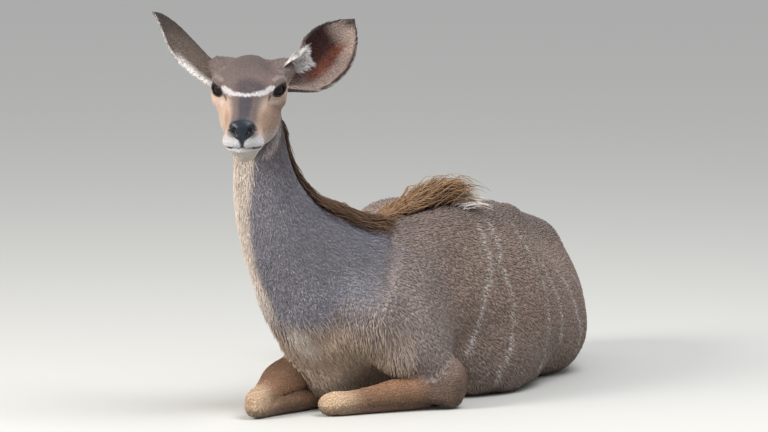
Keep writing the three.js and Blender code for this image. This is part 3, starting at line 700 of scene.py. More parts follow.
def ear_colour(name, share, about, inside, region, grain):
    """Brown behind with a pale edge, painted in shade on the left ear, and a dark red brown cup that
    pales to its rim and is edged dark.
    """
    rim = np.maximum(ramp(np.abs(about), 0.80, 0.98), ramp(share, 0.90, 0.99))
    # painted shade: the left ear's pale edge is darker than the right's, as it lies away from the key light
    edge = tint(168, 152, 145) if name == EAR_L else tint(198, 192, 188)
    ear = layered(
        tint(90, 77, 70),
        (tint(54, 46, 43), ramp(share, 0.35, 0.9)),
        (tint(214, 209, 206), ramp(0.50 - share, 0, 0.2) * ramp(about, 0.70, 0.92) * (region == EAR_R)),
        (edge, ramp(about, 0.93, 0.99) * 0.8),
    )
    cup = layered(
        tint(50, 21, 17),
        (tint(132, 74, 52), ramp(about, -0.12, 0.28) * (0.5 + 0.5 * grain)),
        (tint(98, 80, 74), ramp(0.40 - share, 0, 0.14) * ramp(about, -0.1, 0.3)),
        (tint(164, 144, 133), np.maximum(ramp(share, 0.70, 0.84), ramp(about, 0.28, 0.55)) * 0.9),
        (tint(206, 201, 199), ramp(-about, 0.02, 0.24) * ramp(0.46 - share, 0, 0.1)),
        (tint(46, 38, 38), rim * ramp(share, 0.25, 0.4)),
    )
    return over(ear, cup, inside)


def coat_colour(points, normals, region):
    """The colour of her coat at places on it, given their normals and the part that each is on."""
    place = drawn(points)
    y, z = place[:, 1], place[:, 2]
    turn = round_body(points)[1]
    steep = np.abs(np.degrees(turn))
    grain = mottle(points, 0.03, 1) * 0.6 + mottle(points, 0.011, 2) * 0.4

    # The shoulder's brown gives way to the neck's blue grey along a slanting edge.
    grey = ramp(read_off(z, GREY_EDGE) - y + (grain - 0.5) * 60, -40, 36)
    jaw_fold_shade = np.minimum(*[off_line(place, line) for line in JAW_FOLDS])
    ridge = ramp(6 - steep, 0, 3) * ramp(y, 380, 430) * ramp(mottle(points, 0.014, 9), 0.45, 0.6)
    is_leg = np.isin(region, LEGS).astype(float)
    is_leg = np.where(region == FORE_L, ramp(np.linalg.norm(place - ELBOW, axis=1), 30, 95), is_leg)
    is_leg = np.where(region == HIND_R, ramp(150 - z, 0, 60), is_leg)
    breast_star = 34 - off_line(place, BREAST_STAR) + (grain - 0.5) * 16

    # The tail is brown above and white below, with a dark tip.
    tail = layered(
        tint(116, 98, 88),
        (tint(214, 206, 198), ramp(-normals[:, 1], -0.15, 0.35)),
        (tint(52, 44, 42), ramp(70 - z, 0, 40)),
    )
    face = on_head(points)
    behind_jaw = off_line(both_sides(face), BEHIND_JAW)
    colour = layered(
        trunk_colour(place, steep),
        (neck_colour(steep, turn, z, grain), grey),
        # painted shade in the folds under the jaw
        (tint(78, 72, 74), ramp(6 - jaw_fold_shade, 0, 4) * (region == NECK) * 0.7),
        (tint(196, 188, 184), stripe_share(points, place, region)),
        (tint(205, 198, 192), ridge * 0.8),
        # painted shade under the near elbow, where light from above leaves it dark
        (tint(100, 84, 75), (region == FORE_L) * ramp(110 - z, 0, 50) * 0.9),
        (leg_colour(place, region), is_leg),
        (tint(216, 208, 200), ramp(breast_star, 0, 22) * 0.85),
        (tail, region == TAIL),
        (face_colour(points, face, behind_jaw), region == HEAD),
        (tint(190, 178, 172), ramp(15 - behind_jaw, 0, 12) * (region == NECK) * 0.6),
    )
    for name, spine, opening, slim in EARS:
        ear = ear_colour(name, *ear_place(points, spine, opening, slim), region, grain)
        colour = over(colour, ear, region == name)
    return colour * (0.90 + 0.2 * grain)[:, None]


# The hide's own paint shows between the hairs: the coat's colours with fine pores, and wet on the nose.
# Each place of the hide belongs to the part it is nearest to, and the hair on it lies as that part's
# hair does, back along the head and the body and down the flanks and the legs.
LEG_LINES = {
    FORE_L: [[(240, 28, 50), (165, -70, 44), (80, -174, 36)],
             [(88, -172, 18), (216, -12, 16), (228, 52, 22)]],
    FORE_R: [[(-66, -30, 104), (-72, -150, 72), (-60, -286, 38)],
             [(-58, -280, 20), (-20, -90, 18), (-12, -30, 22)]],
    HIND_R: [[(-205, 660, 290), (-250, 765, 180), (-292, 862, 66)],
             [(-292, 862, 40), (-330, 620, 24), (-342, 548, 26)]],
    HIND_L: [[(225, 590, 70), (180, 760, 62), (128, 938, 50)],
             [(124, 944, 34), (-90, 985, 22), (-158, 976, 24)]],
}
FALL_ROUND_BODY = [(0, 0), (15, 8), (60, 26), (100, 34), (140, 40), (165, 12), (180, 0)]
NECK_END, NECK_FALL = 0.34, 0.25
parts_form = bmesh.new()
part_of_face = []
for number, name in enumerate(REGIONS):
    parts_form.from_mesh(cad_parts[name].data)
    part_of_face += [number] * (len(parts_form.faces) - len(part_of_face))
parts_form.faces.ensure_lookup_table()
parts_tree = BVHTree.FromBMesh(parts_form)
parts_form.free()


def line_way(points, lines):
    """The way that the nearest of a few lines runs."""
    best, way = np.full(len(points), 1e9), np.zeros((len(points), 3))
    for line in lines:
        gone, _, run = nearest_on(points, line)
        way = np.where((gone < best)[:, None], run, way)
        best = np.minimum(gone, best)
    return way


def hair_way(points, region):
    near, turn = round_body(points)
    run, rise, side = body_run[near], body_rise[near], body_side[near]
    down = np.sign(turn)[:, None] * (-np.sin(turn)[:, None] * rise + np.cos(turn)[:, None] * side)
    fall = read_off(np.abs(np.degrees(turn)), FALL_ROUND_BODY)
    fall = np.radians(np.where(near / (len(body_way) - 1) < NECK_END, fall * NECK_FALL, fall))[:, None]
    way = run * np.cos(fall) + down * np.sin(fall)
    local, place = on_head(points), drawn(points)
    upward = np.where(local[:, 2] > -22, 0.2, -0.3)
    ways = {HEAD: np.stack([np.sign(local[:, 0]) * 0.10, np.ones(len(points)), upward], 1) @ HEAD_WAYS.T}
    ways.update({name: line_way(local, [spine]) @ HEAD_WAYS.T for name, spine, _, _ in EARS})
    ways.update({name: line_way(place, lines) for name, lines in LEG_LINES.items()})
    ways[TAIL] = line_way(place, [TAIL_LINE])
    for name, here in ways.items():
        way = np.where((region == name)[:, None], here, way)
    return unit(way)


def painted(mesh, colours):
    layer = mesh.color_attributes.new("coat", "FLOAT_COLOR", "POINT")
    layer.data.foreach_set("color", np.c_[colours, np.ones(len(colours))].astype(np.float32).ravel())


def marked(mesh, name, values):
    layer = mesh.attributes.new(name, "FLOAT", "POINT")
    layer.data.foreach_set("value", values.astype(np.float32))


hide_points, hide_normals = coords_of(hide.data), normals_of(hide.data)
hide_region = np.array(part_of_face)[[parts_tree.find_nearest(p)[2] for p in hide_points]]
painted(hide.data, coat_colour(hide_points, hide_normals, hide_region))
marked(hide.data, "wet", nose_pad(on_head(hide_points)) * (hide_region == HEAD))

# The lie of the hair turns softly from one part to the next.
LIE_ROUNDS, LIE_KEPT = 14, 0.4
hide_edges = values_of(hide.data.edges, "vertices", 2, np.int32)
lie = hair_way(hide_points, hide_region)
neighbours = np.bincount(hide_edges.ravel(), minlength=len(hide_points))[:, None]
for _ in range(LIE_ROUNDS):
    spread = np.stack([
        np.bincount(hide_edges[:, 0], lie[hide_edges[:, 1], k], len(lie))
        + np.bincount(hide_edges[:, 1], lie[hide_edges[:, 0], k], len(lie)) for k in range(3)
    ], 1) / neighbours
    lie = LIE_KEPT * lie + (1 - LIE_KEPT) * spread
    lie -= hide_normals * np.einsum("ij,ij->i", lie, hide_normals)[:, None]
    lie = unit(lie)


class Wire:
    """A socket of a material, with the arithmetic that the paints need."""

    def __init__(self, tree, socket):
        self.tree, self.socket = tree, socket

    def maths(self, way, first, second):
        return node(self.tree, "ShaderNodeMath", {"operation": way}, {0: first, 1: second})

    def __add__(self, other):
        return self.maths("ADD", self, other)

    def __mul__(self, other):
        return self.maths("MULTIPLY", self, other)

    def __sub__(self, other):
        return self.maths("SUBTRACT", self, other)

    def __rsub__(self, other):
        return self.maths("SUBTRACT", other, self)

    __radd__, __rmul__ = __add__, __mul__


def node(tree, kind, settings, sockets, out=0):
    """Any node of a material: its settings and a ramp's stops first, then what its sockets take."""
    made = tree.nodes.new(kind)
    for key, value in settings.items():
        if key == "stops":
            stops = made.color_ramp.elements
            while len(stops) < len(value):
                stops.new(0.5)
            for stop, (place, colour) in zip(stops, value):
                stop.position, stop.color = place, (*colour, 1)
        else:
            setattr(made, key, value)
    for key, value in sockets.items():
        if isinstance(value, Wire):
            tree.links.new(value.socket, made.inputs[key])
        else:
            made.inputs[key].default_value = value
    return Wire(tree, made.outputs[out])


def new_paint(name):
    """A new material, its node tree and the object's own coordinates in it."""
    paint = bpy.data.materials.new(name)
    paint.use_nodes = True
    paint.node_tree.nodes.clear()
    return paint, paint.node_tree, node(paint.node_tree, "ShaderNodeTexCoord", {}, {}, 3)


def finish_paint(tree, sockets):
    shader = node(tree, "ShaderNodeBsdfPrincipled", {}, sockets)
    tree.links.new(shader.socket, tree.nodes.new("ShaderNodeOutputMaterial").inputs["Surface"])


def value_read(tree, name, out=0):
    return node(tree, "ShaderNodeAttribute", {"attribute_name": name}, {}, out)


def noise(tree, where, scale, detail):
    return node(tree, "ShaderNodeTexNoise", {}, {"Vector": where, "Scale": scale, "Detail": detail})


def bumps(tree, height, strength, distance):
    return node(tree, "ShaderNodeBump", {}, {"Height": height, "Strength": strength, "Distance": distance})


def shaded(tree, colour, low, high, amount):
    """A colour made darker and lighter by a value between 0 and 1."""
    level = node(tree, "ShaderNodeMapRange", {}, {"Value": amount, "To Min": low, "To Max": high})
    grey = node(tree, "ShaderNodeCombineColor", {}, {0: level, 1: level, 2: level})
    return node(tree, "ShaderNodeMix", {"data_type": "RGBA", "blend_type": "MULTIPLY"},
                {"Factor": 1.0, "A": colour, "B": grey}, 2)


hide_paint, tree, where = new_paint("hide_paint")
pores, patches = noise(tree, where, scale=900.0, detail=3.0), noise(tree, where, scale=90.0, detail=4.0)
finish_paint(tree, {
    "Base Color": shaded(tree, value_read(tree, "coat"), low=0.72, high=1.0, amount=pores),
    "Roughness": patches * 0.2 + 0.6 - value_read(tree, "wet", 2) * 0.40,
    "Normal": bumps(tree, pores * 0.6 + patches * 0.4, strength=0.5, distance=0.0012),
    "Specular IOR Level": 0.3,
})
hide.data.materials.clear()
hide.data.materials.append(hide_paint)
hide.data.polygons.foreach_set("material_index", np.zeros(len(hide.data.polygons), np.int32))
only(hide)
bpy.ops.object.shade_smooth()
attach(hide, "root")
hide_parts(*REGIONS)


# Her short coat: tufts of hair a few millimetres wide that lie along the body and overlap like thatch,
# longest on the flanks and shortest on the face and the feet. A tuft is a thin closed sliver, and it
# takes a small patch of the coat's map, where its root stands on the hide's.
NEAR_GROUND, EYE_ROOM = 6, 0.0215
LOWEST_HAIR, MAP_PATCH = 0.0004, 0.0014
bpy.ops.object.mode_set(mode="EDIT")
bpy.ops.mesh.select_all(action="SELECT")
bpy.ops.uv.smart_project(angle_limit=math.radians(75), island_margin=0.001)
bpy.ops.object.mode_set(mode="OBJECT")
hide.data.uv_layers.active.name = "OFBake"
hide_faces = values_of(hide.data.loops, "vertex_index", 1, np.int32).reshape(-1, 3)
hide_maps = values_of(hide.data.uv_layers.active.data, "uv", 2).reshape(-1, 3, 2).astype(float)
corners = hide_points[hide_faces]
across_faces = np.cross(corners[:, 1] - corners[:, 0], corners[:, 2] - corners[:, 0])
face_area = np.linalg.norm(across_faces, axis=1) / 2
face_normal = unit(across_faces)
face_middle = corners.mean(axis=1)
face_region = hide_region[hide_faces[:, 0]]


def roots_on_hide(draw, count, weight):
    """Places spread evenly over the hide: where, the normal, the lie of the hair, the map, the region."""
    total = np.cumsum(face_area * weight)
    pick = (np.arange(count) + draw.random(count)) / count * total[-1]
    chosen = np.minimum(np.searchsorted(total, pick), len(total) - 1)
    a, b = draw.random(count), draw.random(count)
    flip = a + b > 1
    a, b = np.where(flip, 1 - a, a), np.where(flip, 1 - b, b)
    share = np.stack([1 - a - b, a, b], 1)[..., None]
    faces = hide_faces[chosen]
    place = (hide_points[faces] * share).sum(1)
    normal = unit((hide_normals[faces] * share).sum(1))
    way = (lie[faces] * share).sum(1)
    way = unit(way - normal * np.einsum("ij,ij->i", way, normal)[:, None])
    return place, normal, way, (hide_maps[chosen] * share).sum(1), face_region[chosen]


def mesh_of(name, points, faces, colours, maps):
    """A piece of many small closed slivers, from arrays."""
    mesh = bpy.data.meshes.new(name)
    mesh.vertices.add(len(points))
    mesh.vertices.foreach_set("co", points.astype(np.float32).ravel())
    mesh.loops.add(faces.size)
    mesh.loops.foreach_set("vertex_index", faces.astype(np.int32).ravel())
    mesh.polygons.add(len(faces))
    mesh.polygons.foreach_set("loop_start", np.arange(0, faces.size, 3, dtype=np.int32))
    mesh.polygons.foreach_set("use_smooth", np.ones(len(faces), bool))
    mesh.update(calc_edges=True)
    painted(mesh, np.clip(colours, 0, 1))
    layer = mesh.uv_layers.new(name="OFBake")
    layer.data.foreach_set("uv", maps[faces.ravel()].astype(np.float32).ravel())
    mesh.materials.append(coat_paint)
    piece = linked(name, mesh)
    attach(piece, "root")
    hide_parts(*REGIONS)


# A sliver has a root, two edges and a ridge at its belly, and a tip.
SLIVER = np.array([[0, 2, 1], [0, 3, 2], [0, 1, 3], [4, 1, 2], [4, 2, 3], [4, 3, 1]])
SLIVER_MAP = np.array([[0, -1], [-1, 0], [1, 0], [0, 0.2], [0, 1]]) * MAP_PATCH
BELLY_AT, BELLY_HEIGHT, BELLY_CLEAR, RIDGE_HEIGHT = 0.42, 0.55, 0.0002, 0.28
ROOT_DEPTH, ROOT_BACK = 0.0012, 0.06


def slivers(name, place, normal, way, maps, long, wide, lift, colour, tip_colour):
    side = np.cross(way, normal)
    long, wide, lift = long[:, None], wide[:, None], lift[:, None]
    belly = place + way * long * BELLY_AT + normal * (lift * BELLY_HEIGHT + BELLY_CLEAR)
    points = np.stack([
        place - normal * ROOT_DEPTH - way * long * ROOT_BACK,
        belly - side * wide / 2,
        belly + side * wide / 2,
        belly + normal * wide * RIDGE_HEIGHT,
        place + way * long + normal * lift,
    ], 1)
    points[:, :, 2] = np.maximum(points[:, :, 2], LOWEST_HAIR)
    faces = (np.arange(len(place)) * 5)[:, None, None] + SLIVER
    # The root is painted darker, as shade among the tufts, and the ridge a little lighter, as a painted
    # highlight.
    colours = np.stack([colour * 0.88, colour, colour, colour * 1.03, tip_colour], 1).reshape(-1, 3)
    mesh_of(name, points.reshape(-1, 3), faces.reshape(-1, 3), colours,
            (maps[:, None, :] + SLIVER_MAP).reshape(-1, 2))


coat_paint, tree, where = new_paint("coat_paint")
hairs = noise(tree, where, scale=1400.0, detail=2.0)
finish_paint(tree, {
    "Base Color": shaded(tree, value_read(tree, "coat"), low=0.86, high=1.14, amount=hairs),
    "Roughness": hairs * 0.25 + 0.5,
    "Specular IOR Level": 0.25,
})

# name, parts, front and back ends on the drawing, count, then length, width and lift in metres, and slot
SHORT_COAT = [
    ("coat_neck", [NECK], (-400, 200), 25000, 0.012, 0.0024, 0.0020, "neck_coat"),
    ("coat_breast", [TORSO], (-400, 120), 22000, 0.018, 0.0030, 0.0024, "body_coat"),
    ("coat_ribs", [TORSO], (120, 420), 25000, 0.021, 0.0033, 0.0024, "body_coat"),
    ("coat_flank", [TORSO], (420, 690), 25000, 0.021, 0.0033, 0.0024, "body_coat"),
    ("coat_rump", [TORSO], (690, 1200), 17000, 0.021, 0.0035, 0.0026, "body_coat"),
    ("coat_face", [HEAD], (-900, 400), 31000, 0.0080, 0.0015, 0.0012, "face_coat"),
    ("coat_ears", [EAR_L, EAR_R], (-900, 400), 12000, 0.0095, 0.0019, 0.0014, "ear_coat"),
    ("coat_forelegs", [FORE_L, FORE_R], (-900, 400), 15500, 0.0105, 0.0022, 0.0012, "leg_coat"),
    ("coat_hindlegs", [HIND_L, HIND_R], (300, 1300), 14000, 0.013, 0.0026, 0.0016, "leg_coat"),
    ("coat_tail", [TAIL], (300, 1300), 3000, 0.020, 0.0026, 0.0026, "body_coat"),
]
FACE_LENGTHS = [(-200, 0.4), (-120, 0.6), (0, 0.8), (60, 1.15)]
WAVER, WARMTH = 0.16, 0.03
UNEVEN = np.full(len(REGIONS), 0.09)
UNEVEN[NECK], UNEVEN[[HEAD, EAR_L, EAR_R]], UNEVEN[LEGS] = 0.17, 0.08, 0.07

# No hair grows where she rests on the ground, on the eyes and their lids, on the nose or in the mouth.
middle = drawn(face_middle)
resting = (middle[:, 2] < NEAR_GROUND) & (face_normal[:, 2] < -0.5)
eye_middles = [np.mean(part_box(name), axis=0) for name in ("eye_left", "eye_right")]
near_eye = np.min([np.linalg.norm(face_middle - eye, axis=1) for eye in eye_middles], axis=0) < EYE_ROOM
snout = on_head(face_middle)
bare_nose = (nose_pad(snout) > 0.3) | (lid_edge(snout) > 0.5) | (off_line(both_sides(snout), MOUTH) < 3.6)
bare = resting | near_eye | ((face_region == HEAD) & bare_nose)
for number, (name, regions, (front, rear), count, long, wide, lift, slot) in enumerate(SHORT_COAT):
    draw = np.random.default_rng(40 + number)
    here = np.isin(face_region, regions) & (middle[:, 1] > front) & (middle[:, 1] <= rear) & ~bare
    place, normal, way, maps, region = roots_on_hide(draw, count, here.astype(float))
    way = unit(way + np.cross(normal, way) * draw.normal(0, WAVER, count)[:, None])
    length = long * draw.uniform(0.75, 1.3, count)
    if name == "coat_face":
        length *= read_off(on_head(place)[:, 1], FACE_LENGTHS)
    shade = np.clip(draw.normal(1.0, UNEVEN[region]), 0.3, 1.9)[:, None]
    warm = draw.normal(0, WARMTH, count)[:, None] * np.array([1, 0, -1])
    colour = np.clip(coat_colour(place, normal, region) * shade * (1 + warm), 0.004, 0.9)
    tip = np.clip(colour * draw.uniform(0.9, 1.22, count)[:, None], 0.004, 0.95)
    width = wide * draw.uniform(0.7, 1.3, count)
    height = lift * draw.uniform(0.4, 1.3, count)
    slivers(name, place, normal, way, maps, length, width, height, colour, tip)


# Her long hair: a dark mane with ochre tips that lies down the nape, a crest on the withers that sweeps
# back to a white end, a pale fringe down the throat, longer hair on the breast, and the tail's tuft.
# A lock is a thin closed strand with three sides. It grows from the hide and lies over the short coat.
STRAND_RINGS = 4
STRAND_SHARES = np.arange(STRAND_RINGS + 2) / (STRAND_RINGS + 1)
LOCK_FLATNESS, LOWEST_LOCK = 0.5, 0.0015
hide_tree = BVHTree.FromPolygons(hide_points.tolist(), hide_faces.tolist())


def strand_faces():
    faces = [[0, 1 + (k + 1) % 3, 1 + k] for k in range(3)]
    for r in range(STRAND_RINGS - 1):
        for k in range(3):
            a, b = 1 + r * 3 + k, 1 + r * 3 + (k + 1) % 3
            faces += [[a, b, b + 3], [a, b + 3, a + 3]]
    last, tip = 1 + (STRAND_RINGS - 1) * 3, 1 + STRAND_RINGS * 3
    return np.array(faces + [[last + k, last + (k + 1) % 3, tip] for k in range(3)])


STRAND = strand_faces()


def strands(name, path, out, wide, root_colour, tip_colour, maps):
    """Locks of hair, closed and three-sided. path has a root, the rings and a tip for each lock."""
    tangents = unit(np.gradient(path, axis=1))
    side = unit(np.cross(tangents, out[:, None, :]))
    high = np.cross(side, tangents)
    points, shares, turns = [path[:, 0]], [0], [0]
    for r, t in enumerate(STRAND_SHARES[1:-1], start=1):
        size = wide[:, None] * (1 - max(t - 0.3, 0) ** 1.3)
        for k in range(3):
            angle = 2 * math.pi * k / 3 + math.pi / 2
            beside, above = side[:, r] * math.cos(angle), high[:, r] * math.sin(angle)
            points.append(path[:, r] + (beside * size / 2 + above * size * LOCK_FLATNESS / 2))
            shares.append(t)
            turns.append(k - 1)
    points = np.stack([*points, path[:, -1]], 1)
    points[..., 2] = np.maximum(points[..., 2], LOWEST_HAIR)
    shares, turns = np.array([*shares, 1]), np.array([*turns, 0])
    blend = shares ** 1.4 * np.ones((len(path), 1))
    colours = over(root_colour[:, None, :], tip_colour[:, None, :], blend).reshape(-1, 3)
    spread = maps[:, None, :] + np.stack([turns, shares * 2 - 1], 1) * MAP_PATCH
    faces = (np.arange(len(path)) * len(shares))[:, None, None] + STRAND
    mesh_of(name, points.reshape(-1, 3), faces.reshape(-1, 3), colours, spread.reshape(-1, 2))


def varied(draw, colour, count, amount=0.16):
    return np.clip(colour * draw.normal(1, amount, count)[:, None], 0.003, 0.92)


def skin_at(share, turn):
    """Where a ray from her body's line leaves the hide, and its way."""
    k = np.clip(share, 0, 1) * (len(body_way) - 1)
    low = int(min(k, len(body_way) - 2))
    f = k - low
    lines = body_way, body_rise, body_side
    centre, rise, side = [line[low] * (1 - f) + line[low + 1] * f for line in lines]
    out = unit(math.cos(turn) * rise + math.sin(turn) * side)
    hit = hide_tree.ray_cast(Vector(centre), Vector(out), FARTHEST)[0]
    return (np.array(hit) if hit is not None else centre + out * 0.1), out


def evenly(values, share):
    """One of a few values spread evenly from 0 to 1, or a value between two of them."""
    return np.interp(share, np.linspace(0, 1, len(values)), values)


def ridge_hair(draw, count, begin, end, twist, spread, long, rise, droop):
    """Locks that grow along the back and lie along it, away from the head. begin and end are shares of
    the body's line, twist is in degrees round it, and long and rise are in millimetres."""
    path = np.empty((count, STRAND_RINGS + 2, 3))
    outs, shares = np.empty((count, 3)), (np.arange(count) + draw.random(count)) / count
    draw.shuffle(shares)
    body_length = np.linalg.norm(np.diff(body_way, axis=0), axis=1).sum()
    for i, t in enumerate(shares):
        turn = evenly(twist, t) + draw.normal(0, spread)
        size = draw.uniform(0.7, 1.15)
        length = evenly(long, t) * size / 1000
        height = evenly(rise, t) * size * draw.uniform(0.45, 1.2) / 1000
        turn_end = turn + draw.normal(0, spread * 0.6)
        sway = draw.normal(0, 0.004)
        for r, s in enumerate(STRAND_SHARES):
            share = begin + (end - begin) * t + s * length / body_length
            place, out = skin_at(share, math.radians(turn + (turn_end - turn) * s))
            lift = height * (math.sin(min(s * 1.25, 1) * math.pi / 2)) * (1 - droop * s * s)
            path[i, r] = place + out * (lift - (0.006 if r == 0 else -0.001)) + body_side[0] * sway * s * s
            if r == 0:
                outs[i] = out
    return path, outs, shares


def nearest_maps(points):
    """The map place of the nearest face of the hide, so that a lock takes its patch at its own root."""
    return hide_maps[[hide_tree.find_nearest(Vector(p))[2] for p in points]].mean(axis=1)


draw = np.random.default_rng(7)
MANE_LOCKS, CREST_LOCKS = 2600, 3000
path, outs, _ = ridge_hair(draw, MANE_LOCKS, begin=0.05, end=0.40, twist=[31, 27, 22], spread=8,
                           long=[46, 74, 98, 92], rise=[9, 19, 30, 22], droop=0.35)
roots = varied(draw, tint(66, 50, 42), MANE_LOCKS)
tips = varied(draw, tint(120, 88, 62), MANE_LOCKS, 0.3)
widths = draw.uniform(0.0022, 0.0042, MANE_LOCKS)
strands("mane", path, outs, widths, roots, tips, nearest_maps(path[:, 1]))

path, outs, shares = ridge_hair(draw, CREST_LOCKS, begin=0.44, end=0.62, twist=[5, 9, 12], spread=6,
                                long=[54, 104, 128, 92], rise=[9, 44, 74, 22], droop=0.30)
# The dark roots and pale ochre tips are partly the crest's own colours and partly painted light on its top
# and painted shade beneath.
roots = varied(draw, tint(94, 68, 52), CREST_LOCKS)
roots = over(roots, tint(70, 52, 44), draw.random(CREST_LOCKS) < 0.3)
tips = varied(draw, tint(178, 140, 100), CREST_LOCKS, 0.2)
tips = over(tips, tint(232, 226, 220), shares > 0.86)
roots = over(roots, tint(214, 205, 197), shares > 0.87)
widths = draw.uniform(0.0024, 0.0046, CREST_LOCKS)
strands("crest", path, outs, widths, roots, tips, nearest_maps(path[:, 1]))


def hanging(draw, count, here, long, stand, fall, sink=0.003):
    """Longer locks that follow the coat and hang a little from it."""
    place, normal, way, maps, region = roots_on_hide(draw, count, here.astype(float))
    length = (long * draw.uniform(0.6, 1.25, count))[:, None]
    way = unit(way + np.cross(normal, way) * draw.normal(0, 0.22, count)[:, None])
    lean = (stand * draw.uniform(0.3, 1.4, count))[:, None]
    path = np.empty((count, STRAND_RINGS + 2, 3))
    for r, s in enumerate(STRAND_SHARES):
        rise = lean * s * (1.6 - 0.6 * s) - (sink if r == 0 else 0)
        path[:, r] = place + way * length * s + normal * rise
        path[:, r, 2] -= (fall * length * s * s)[:, 0]
    path[..., 2] = np.maximum(path[..., 2], LOWEST_LOCK)
    return place, normal, path, maps, region


FRINGE_LOCKS, BREAST_LOCKS, TAIL_LOCKS, EAR_LOCKS = 2300, 3200, 1100, 1300
height = middle[:, 2]
face_turn = round_body(face_middle)[1]
throat = (face_region == NECK) & (pale_throat(face_turn, height) > 0.35) & (height < 620) & (height > 215)
place, normal, path, maps, region = hanging(draw, FRINGE_LOCKS, throat, long=0.022, stand=0.0035, fall=0.10)
widths = draw.uniform(0.0012, 0.0021, FRINGE_LOCKS)
roots = coat_colour(place, normal, region)
tips = varied(draw, tint(216, 202, 190), FRINGE_LOCKS, 0.07)
strands("throat_fringe", path, normal, widths, roots, tips, maps)

breast = np.isin(face_region, [TORSO, NECK]) & (np.abs(np.degrees(face_turn)) > 120) & (middle[:, 1] < -60)
breast &= (height > 20) & (height < 240) & (face_normal[:, 2] > -0.8)
breast = breast * ramp(250 - height, 0, 130)
place, normal, path, maps, region = hanging(draw, BREAST_LOCKS, breast, long=0.030, stand=0.005, fall=0.18)
widths = draw.uniform(0.0015, 0.0027, BREAST_LOCKS)
roots = varied(draw, 1.0, BREAST_LOCKS, 0.09) * coat_colour(place, normal, region)
tips = varied(draw, tint(190, 170, 152), BREAST_LOCKS, 0.1)
strands("breast_hair", path, normal, widths, roots, tips, maps)

tuft = (face_region == TAIL) & (height < 190)
place, normal, path, maps, region = hanging(draw, TAIL_LOCKS, tuft, long=0.060, stand=0.010, fall=0.3)
widths = draw.uniform(0.0020, 0.0036, TAIL_LOCKS)
roots = varied(draw, tint(70, 56, 50), TAIL_LOCKS)
tips = varied(draw, tint(40, 33, 31), TAIL_LOCKS, 0.2)
strands("tail_hair", path, normal, widths, roots, tips, maps)

# The ears hold long pale hair, rooted along the front of the cup and combed out over its mouth.
for name, spine, opening, slim in EARS:
    piece, outward = ("ear_hair_left", 0.86) if name == EAR_L else ("ear_hair_right", -0.86)
    share, about, inside = ear_place(face_middle, spine, opening, slim)
    here = (face_region == name) & (inside > 0.5) & (share > 0.07) & (share < 0.44) & (about < -0.10)
    here &= about > -0.78
    place, normal, path, maps, region = hanging(draw, EAR_LOCKS, here, long=0.003, stand=0.004, fall=0.0,
                                                sink=0.001)
    combed = HEAD_WAYS @ np.array([outward, 0.1, -0.5]) + draw.normal(0, 0.13, (EAR_LOCKS, 3))
    combed = unit(combed - normal * (np.einsum("ij,ij->i", combed, normal) * 0.85)[:, None])
    reach = draw.uniform(0.014, 0.026, EAR_LOCKS)[:, None, None]
    path += combed[:, None, :] * STRAND_SHARES[None, :, None] * reach
    widths = draw.uniform(0.0010, 0.0019, EAR_LOCKS)
    roots = varied(draw, tint(170, 160, 156), EAR_LOCKS)
    tips = varied(draw, tint(224, 221, 220), EAR_LOCKS, 0.08)
    strands(piece, path, normal, widths, roots, tips, maps)


# Her eyes are large, dark and wet. Each is a ball set in its lids, nearly black, with a brown iris and
# a wide level pupil that show only close by. The cornea bulges a little from the ball.
EYE_LOOK, EYE_RISE = math.radians(48), 0.06
CORNEA_WIDTH, CORNEA_HEIGHT = 0.12, 0.0006
PUPIL_SQUASH = 0.82, 1.5
eye_paint, tree, where = new_paint("eye_paint")
veins = noise(tree, where, scale=700.0, detail=3.0)
iris = node(tree, "ShaderNodeValToRGB", {"stops": [
    (0.0, (0.006, 0.005, 0.007)), (0.42, (0.008, 0.006, 0.008)), (0.50, (0.018, 0.011, 0.009)),
    (0.84, (0.015, 0.010, 0.008)), (0.92, (0.009, 0.007, 0.008)), (1.0, (0.010, 0.008, 0.009)),
]}, {"Fac": value_read(tree, "iris", 2) + veins * 0.06})
finish_paint(tree, {"Base Color": iris, "Roughness": veins * 0.04 + 0.04, "Specular IOR Level": 0.14})
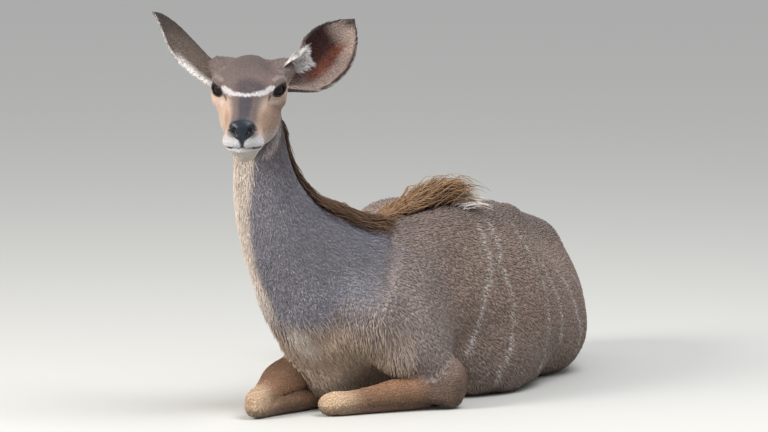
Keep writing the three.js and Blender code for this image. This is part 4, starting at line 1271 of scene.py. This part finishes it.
for side, name in [(1, "eye_left"), (-1, "eye_right")]:
    low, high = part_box(name)
    centre = (low + high) / 2
    radius = (high.z - low.z) / 2
    bpy.ops.mesh.primitive_uv_sphere_add(segments=64, ring_count=40, radius=radius, location=centre)
    ball = bpy.context.object
    ball.name = name + "_ball"
    bpy.ops.object.transform_apply(location=True, rotation=True, scale=True)
    points = coords_of(ball.data)
    look = HEAD_WAYS @ np.array([side * math.sin(EYE_LOOK), -math.cos(EYE_LOOK), EYE_RISE])
    away = unit(points - np.array(centre))
    level = unit(np.cross(HEAD_WAYS @ np.array([0.0, 0, 1]), look))
    pupil = np.stack([away @ level * PUPIL_SQUASH[0], away @ np.cross(look, level) * PUPIL_SQUASH[1]], 1)
    from_pupil = np.where(away @ look > 0, np.linalg.norm(pupil, axis=1), 1.0)
    marked(ball.data, "iris", np.clip(from_pupil, 0, 1))
    bulge = np.exp(-((1 - away @ look) / CORNEA_WIDTH) ** 2) * CORNEA_HEIGHT
    set_coords(ball.data, points + away * bulge[:, None])
    bpy.ops.object.shade_smooth()
    ball.data.materials.append(eye_paint)
    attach(ball, "root")
    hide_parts(name)


# Her hooves are two toes to a foot, of dark worn horn with faint rings, paler where it is scuffed.
# Each toe is its solid, recast with rounded edges.
HOOF_GRAIN = 0.0026
horn, tree, where = new_paint("horn")
rings = node(tree, "ShaderNodeTexWave", {"bands_direction": "Z"},
             {"Vector": where, "Scale": 60.0, "Distortion": 2.5})
scuff = noise(tree, where, scale=160.0, detail=5.0)
horn_colour = node(tree, "ShaderNodeValToRGB", {"stops": [
    (0.0, (0.020, 0.017, 0.016)), (0.55, (0.040, 0.033, 0.030)), (0.8, (0.085, 0.070, 0.060)),
    (1.0, (0.14, 0.12, 0.10)),
]}, {"Fac": scuff * 0.8 + rings * 0.15})
finish_paint(tree, {
    "Base Color": horn_colour, "Roughness": scuff * 0.3 + 0.35,
    "Normal": bumps(tree, rings * 0.5 + scuff * 0.5, strength=0.5, distance=0.0008),
})
for foot in ["fore_left", "fore_right", "hind_left", "hind_right"]:
    for toe in ["inner", "outer"]:
        name = f"hoof_{foot}_{toe}"
        hoof = flesh_of(name, 0.0)
        recast(hoof, HOOF_GRAIN)
        softened(hoof, 4)
        hoof.name = name + "_horn"
        bpy.ops.object.shade_smooth()
        hoof.data.materials.clear()
        hoof.data.materials.append(horn)
        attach(hoof, "root")
        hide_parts(name)
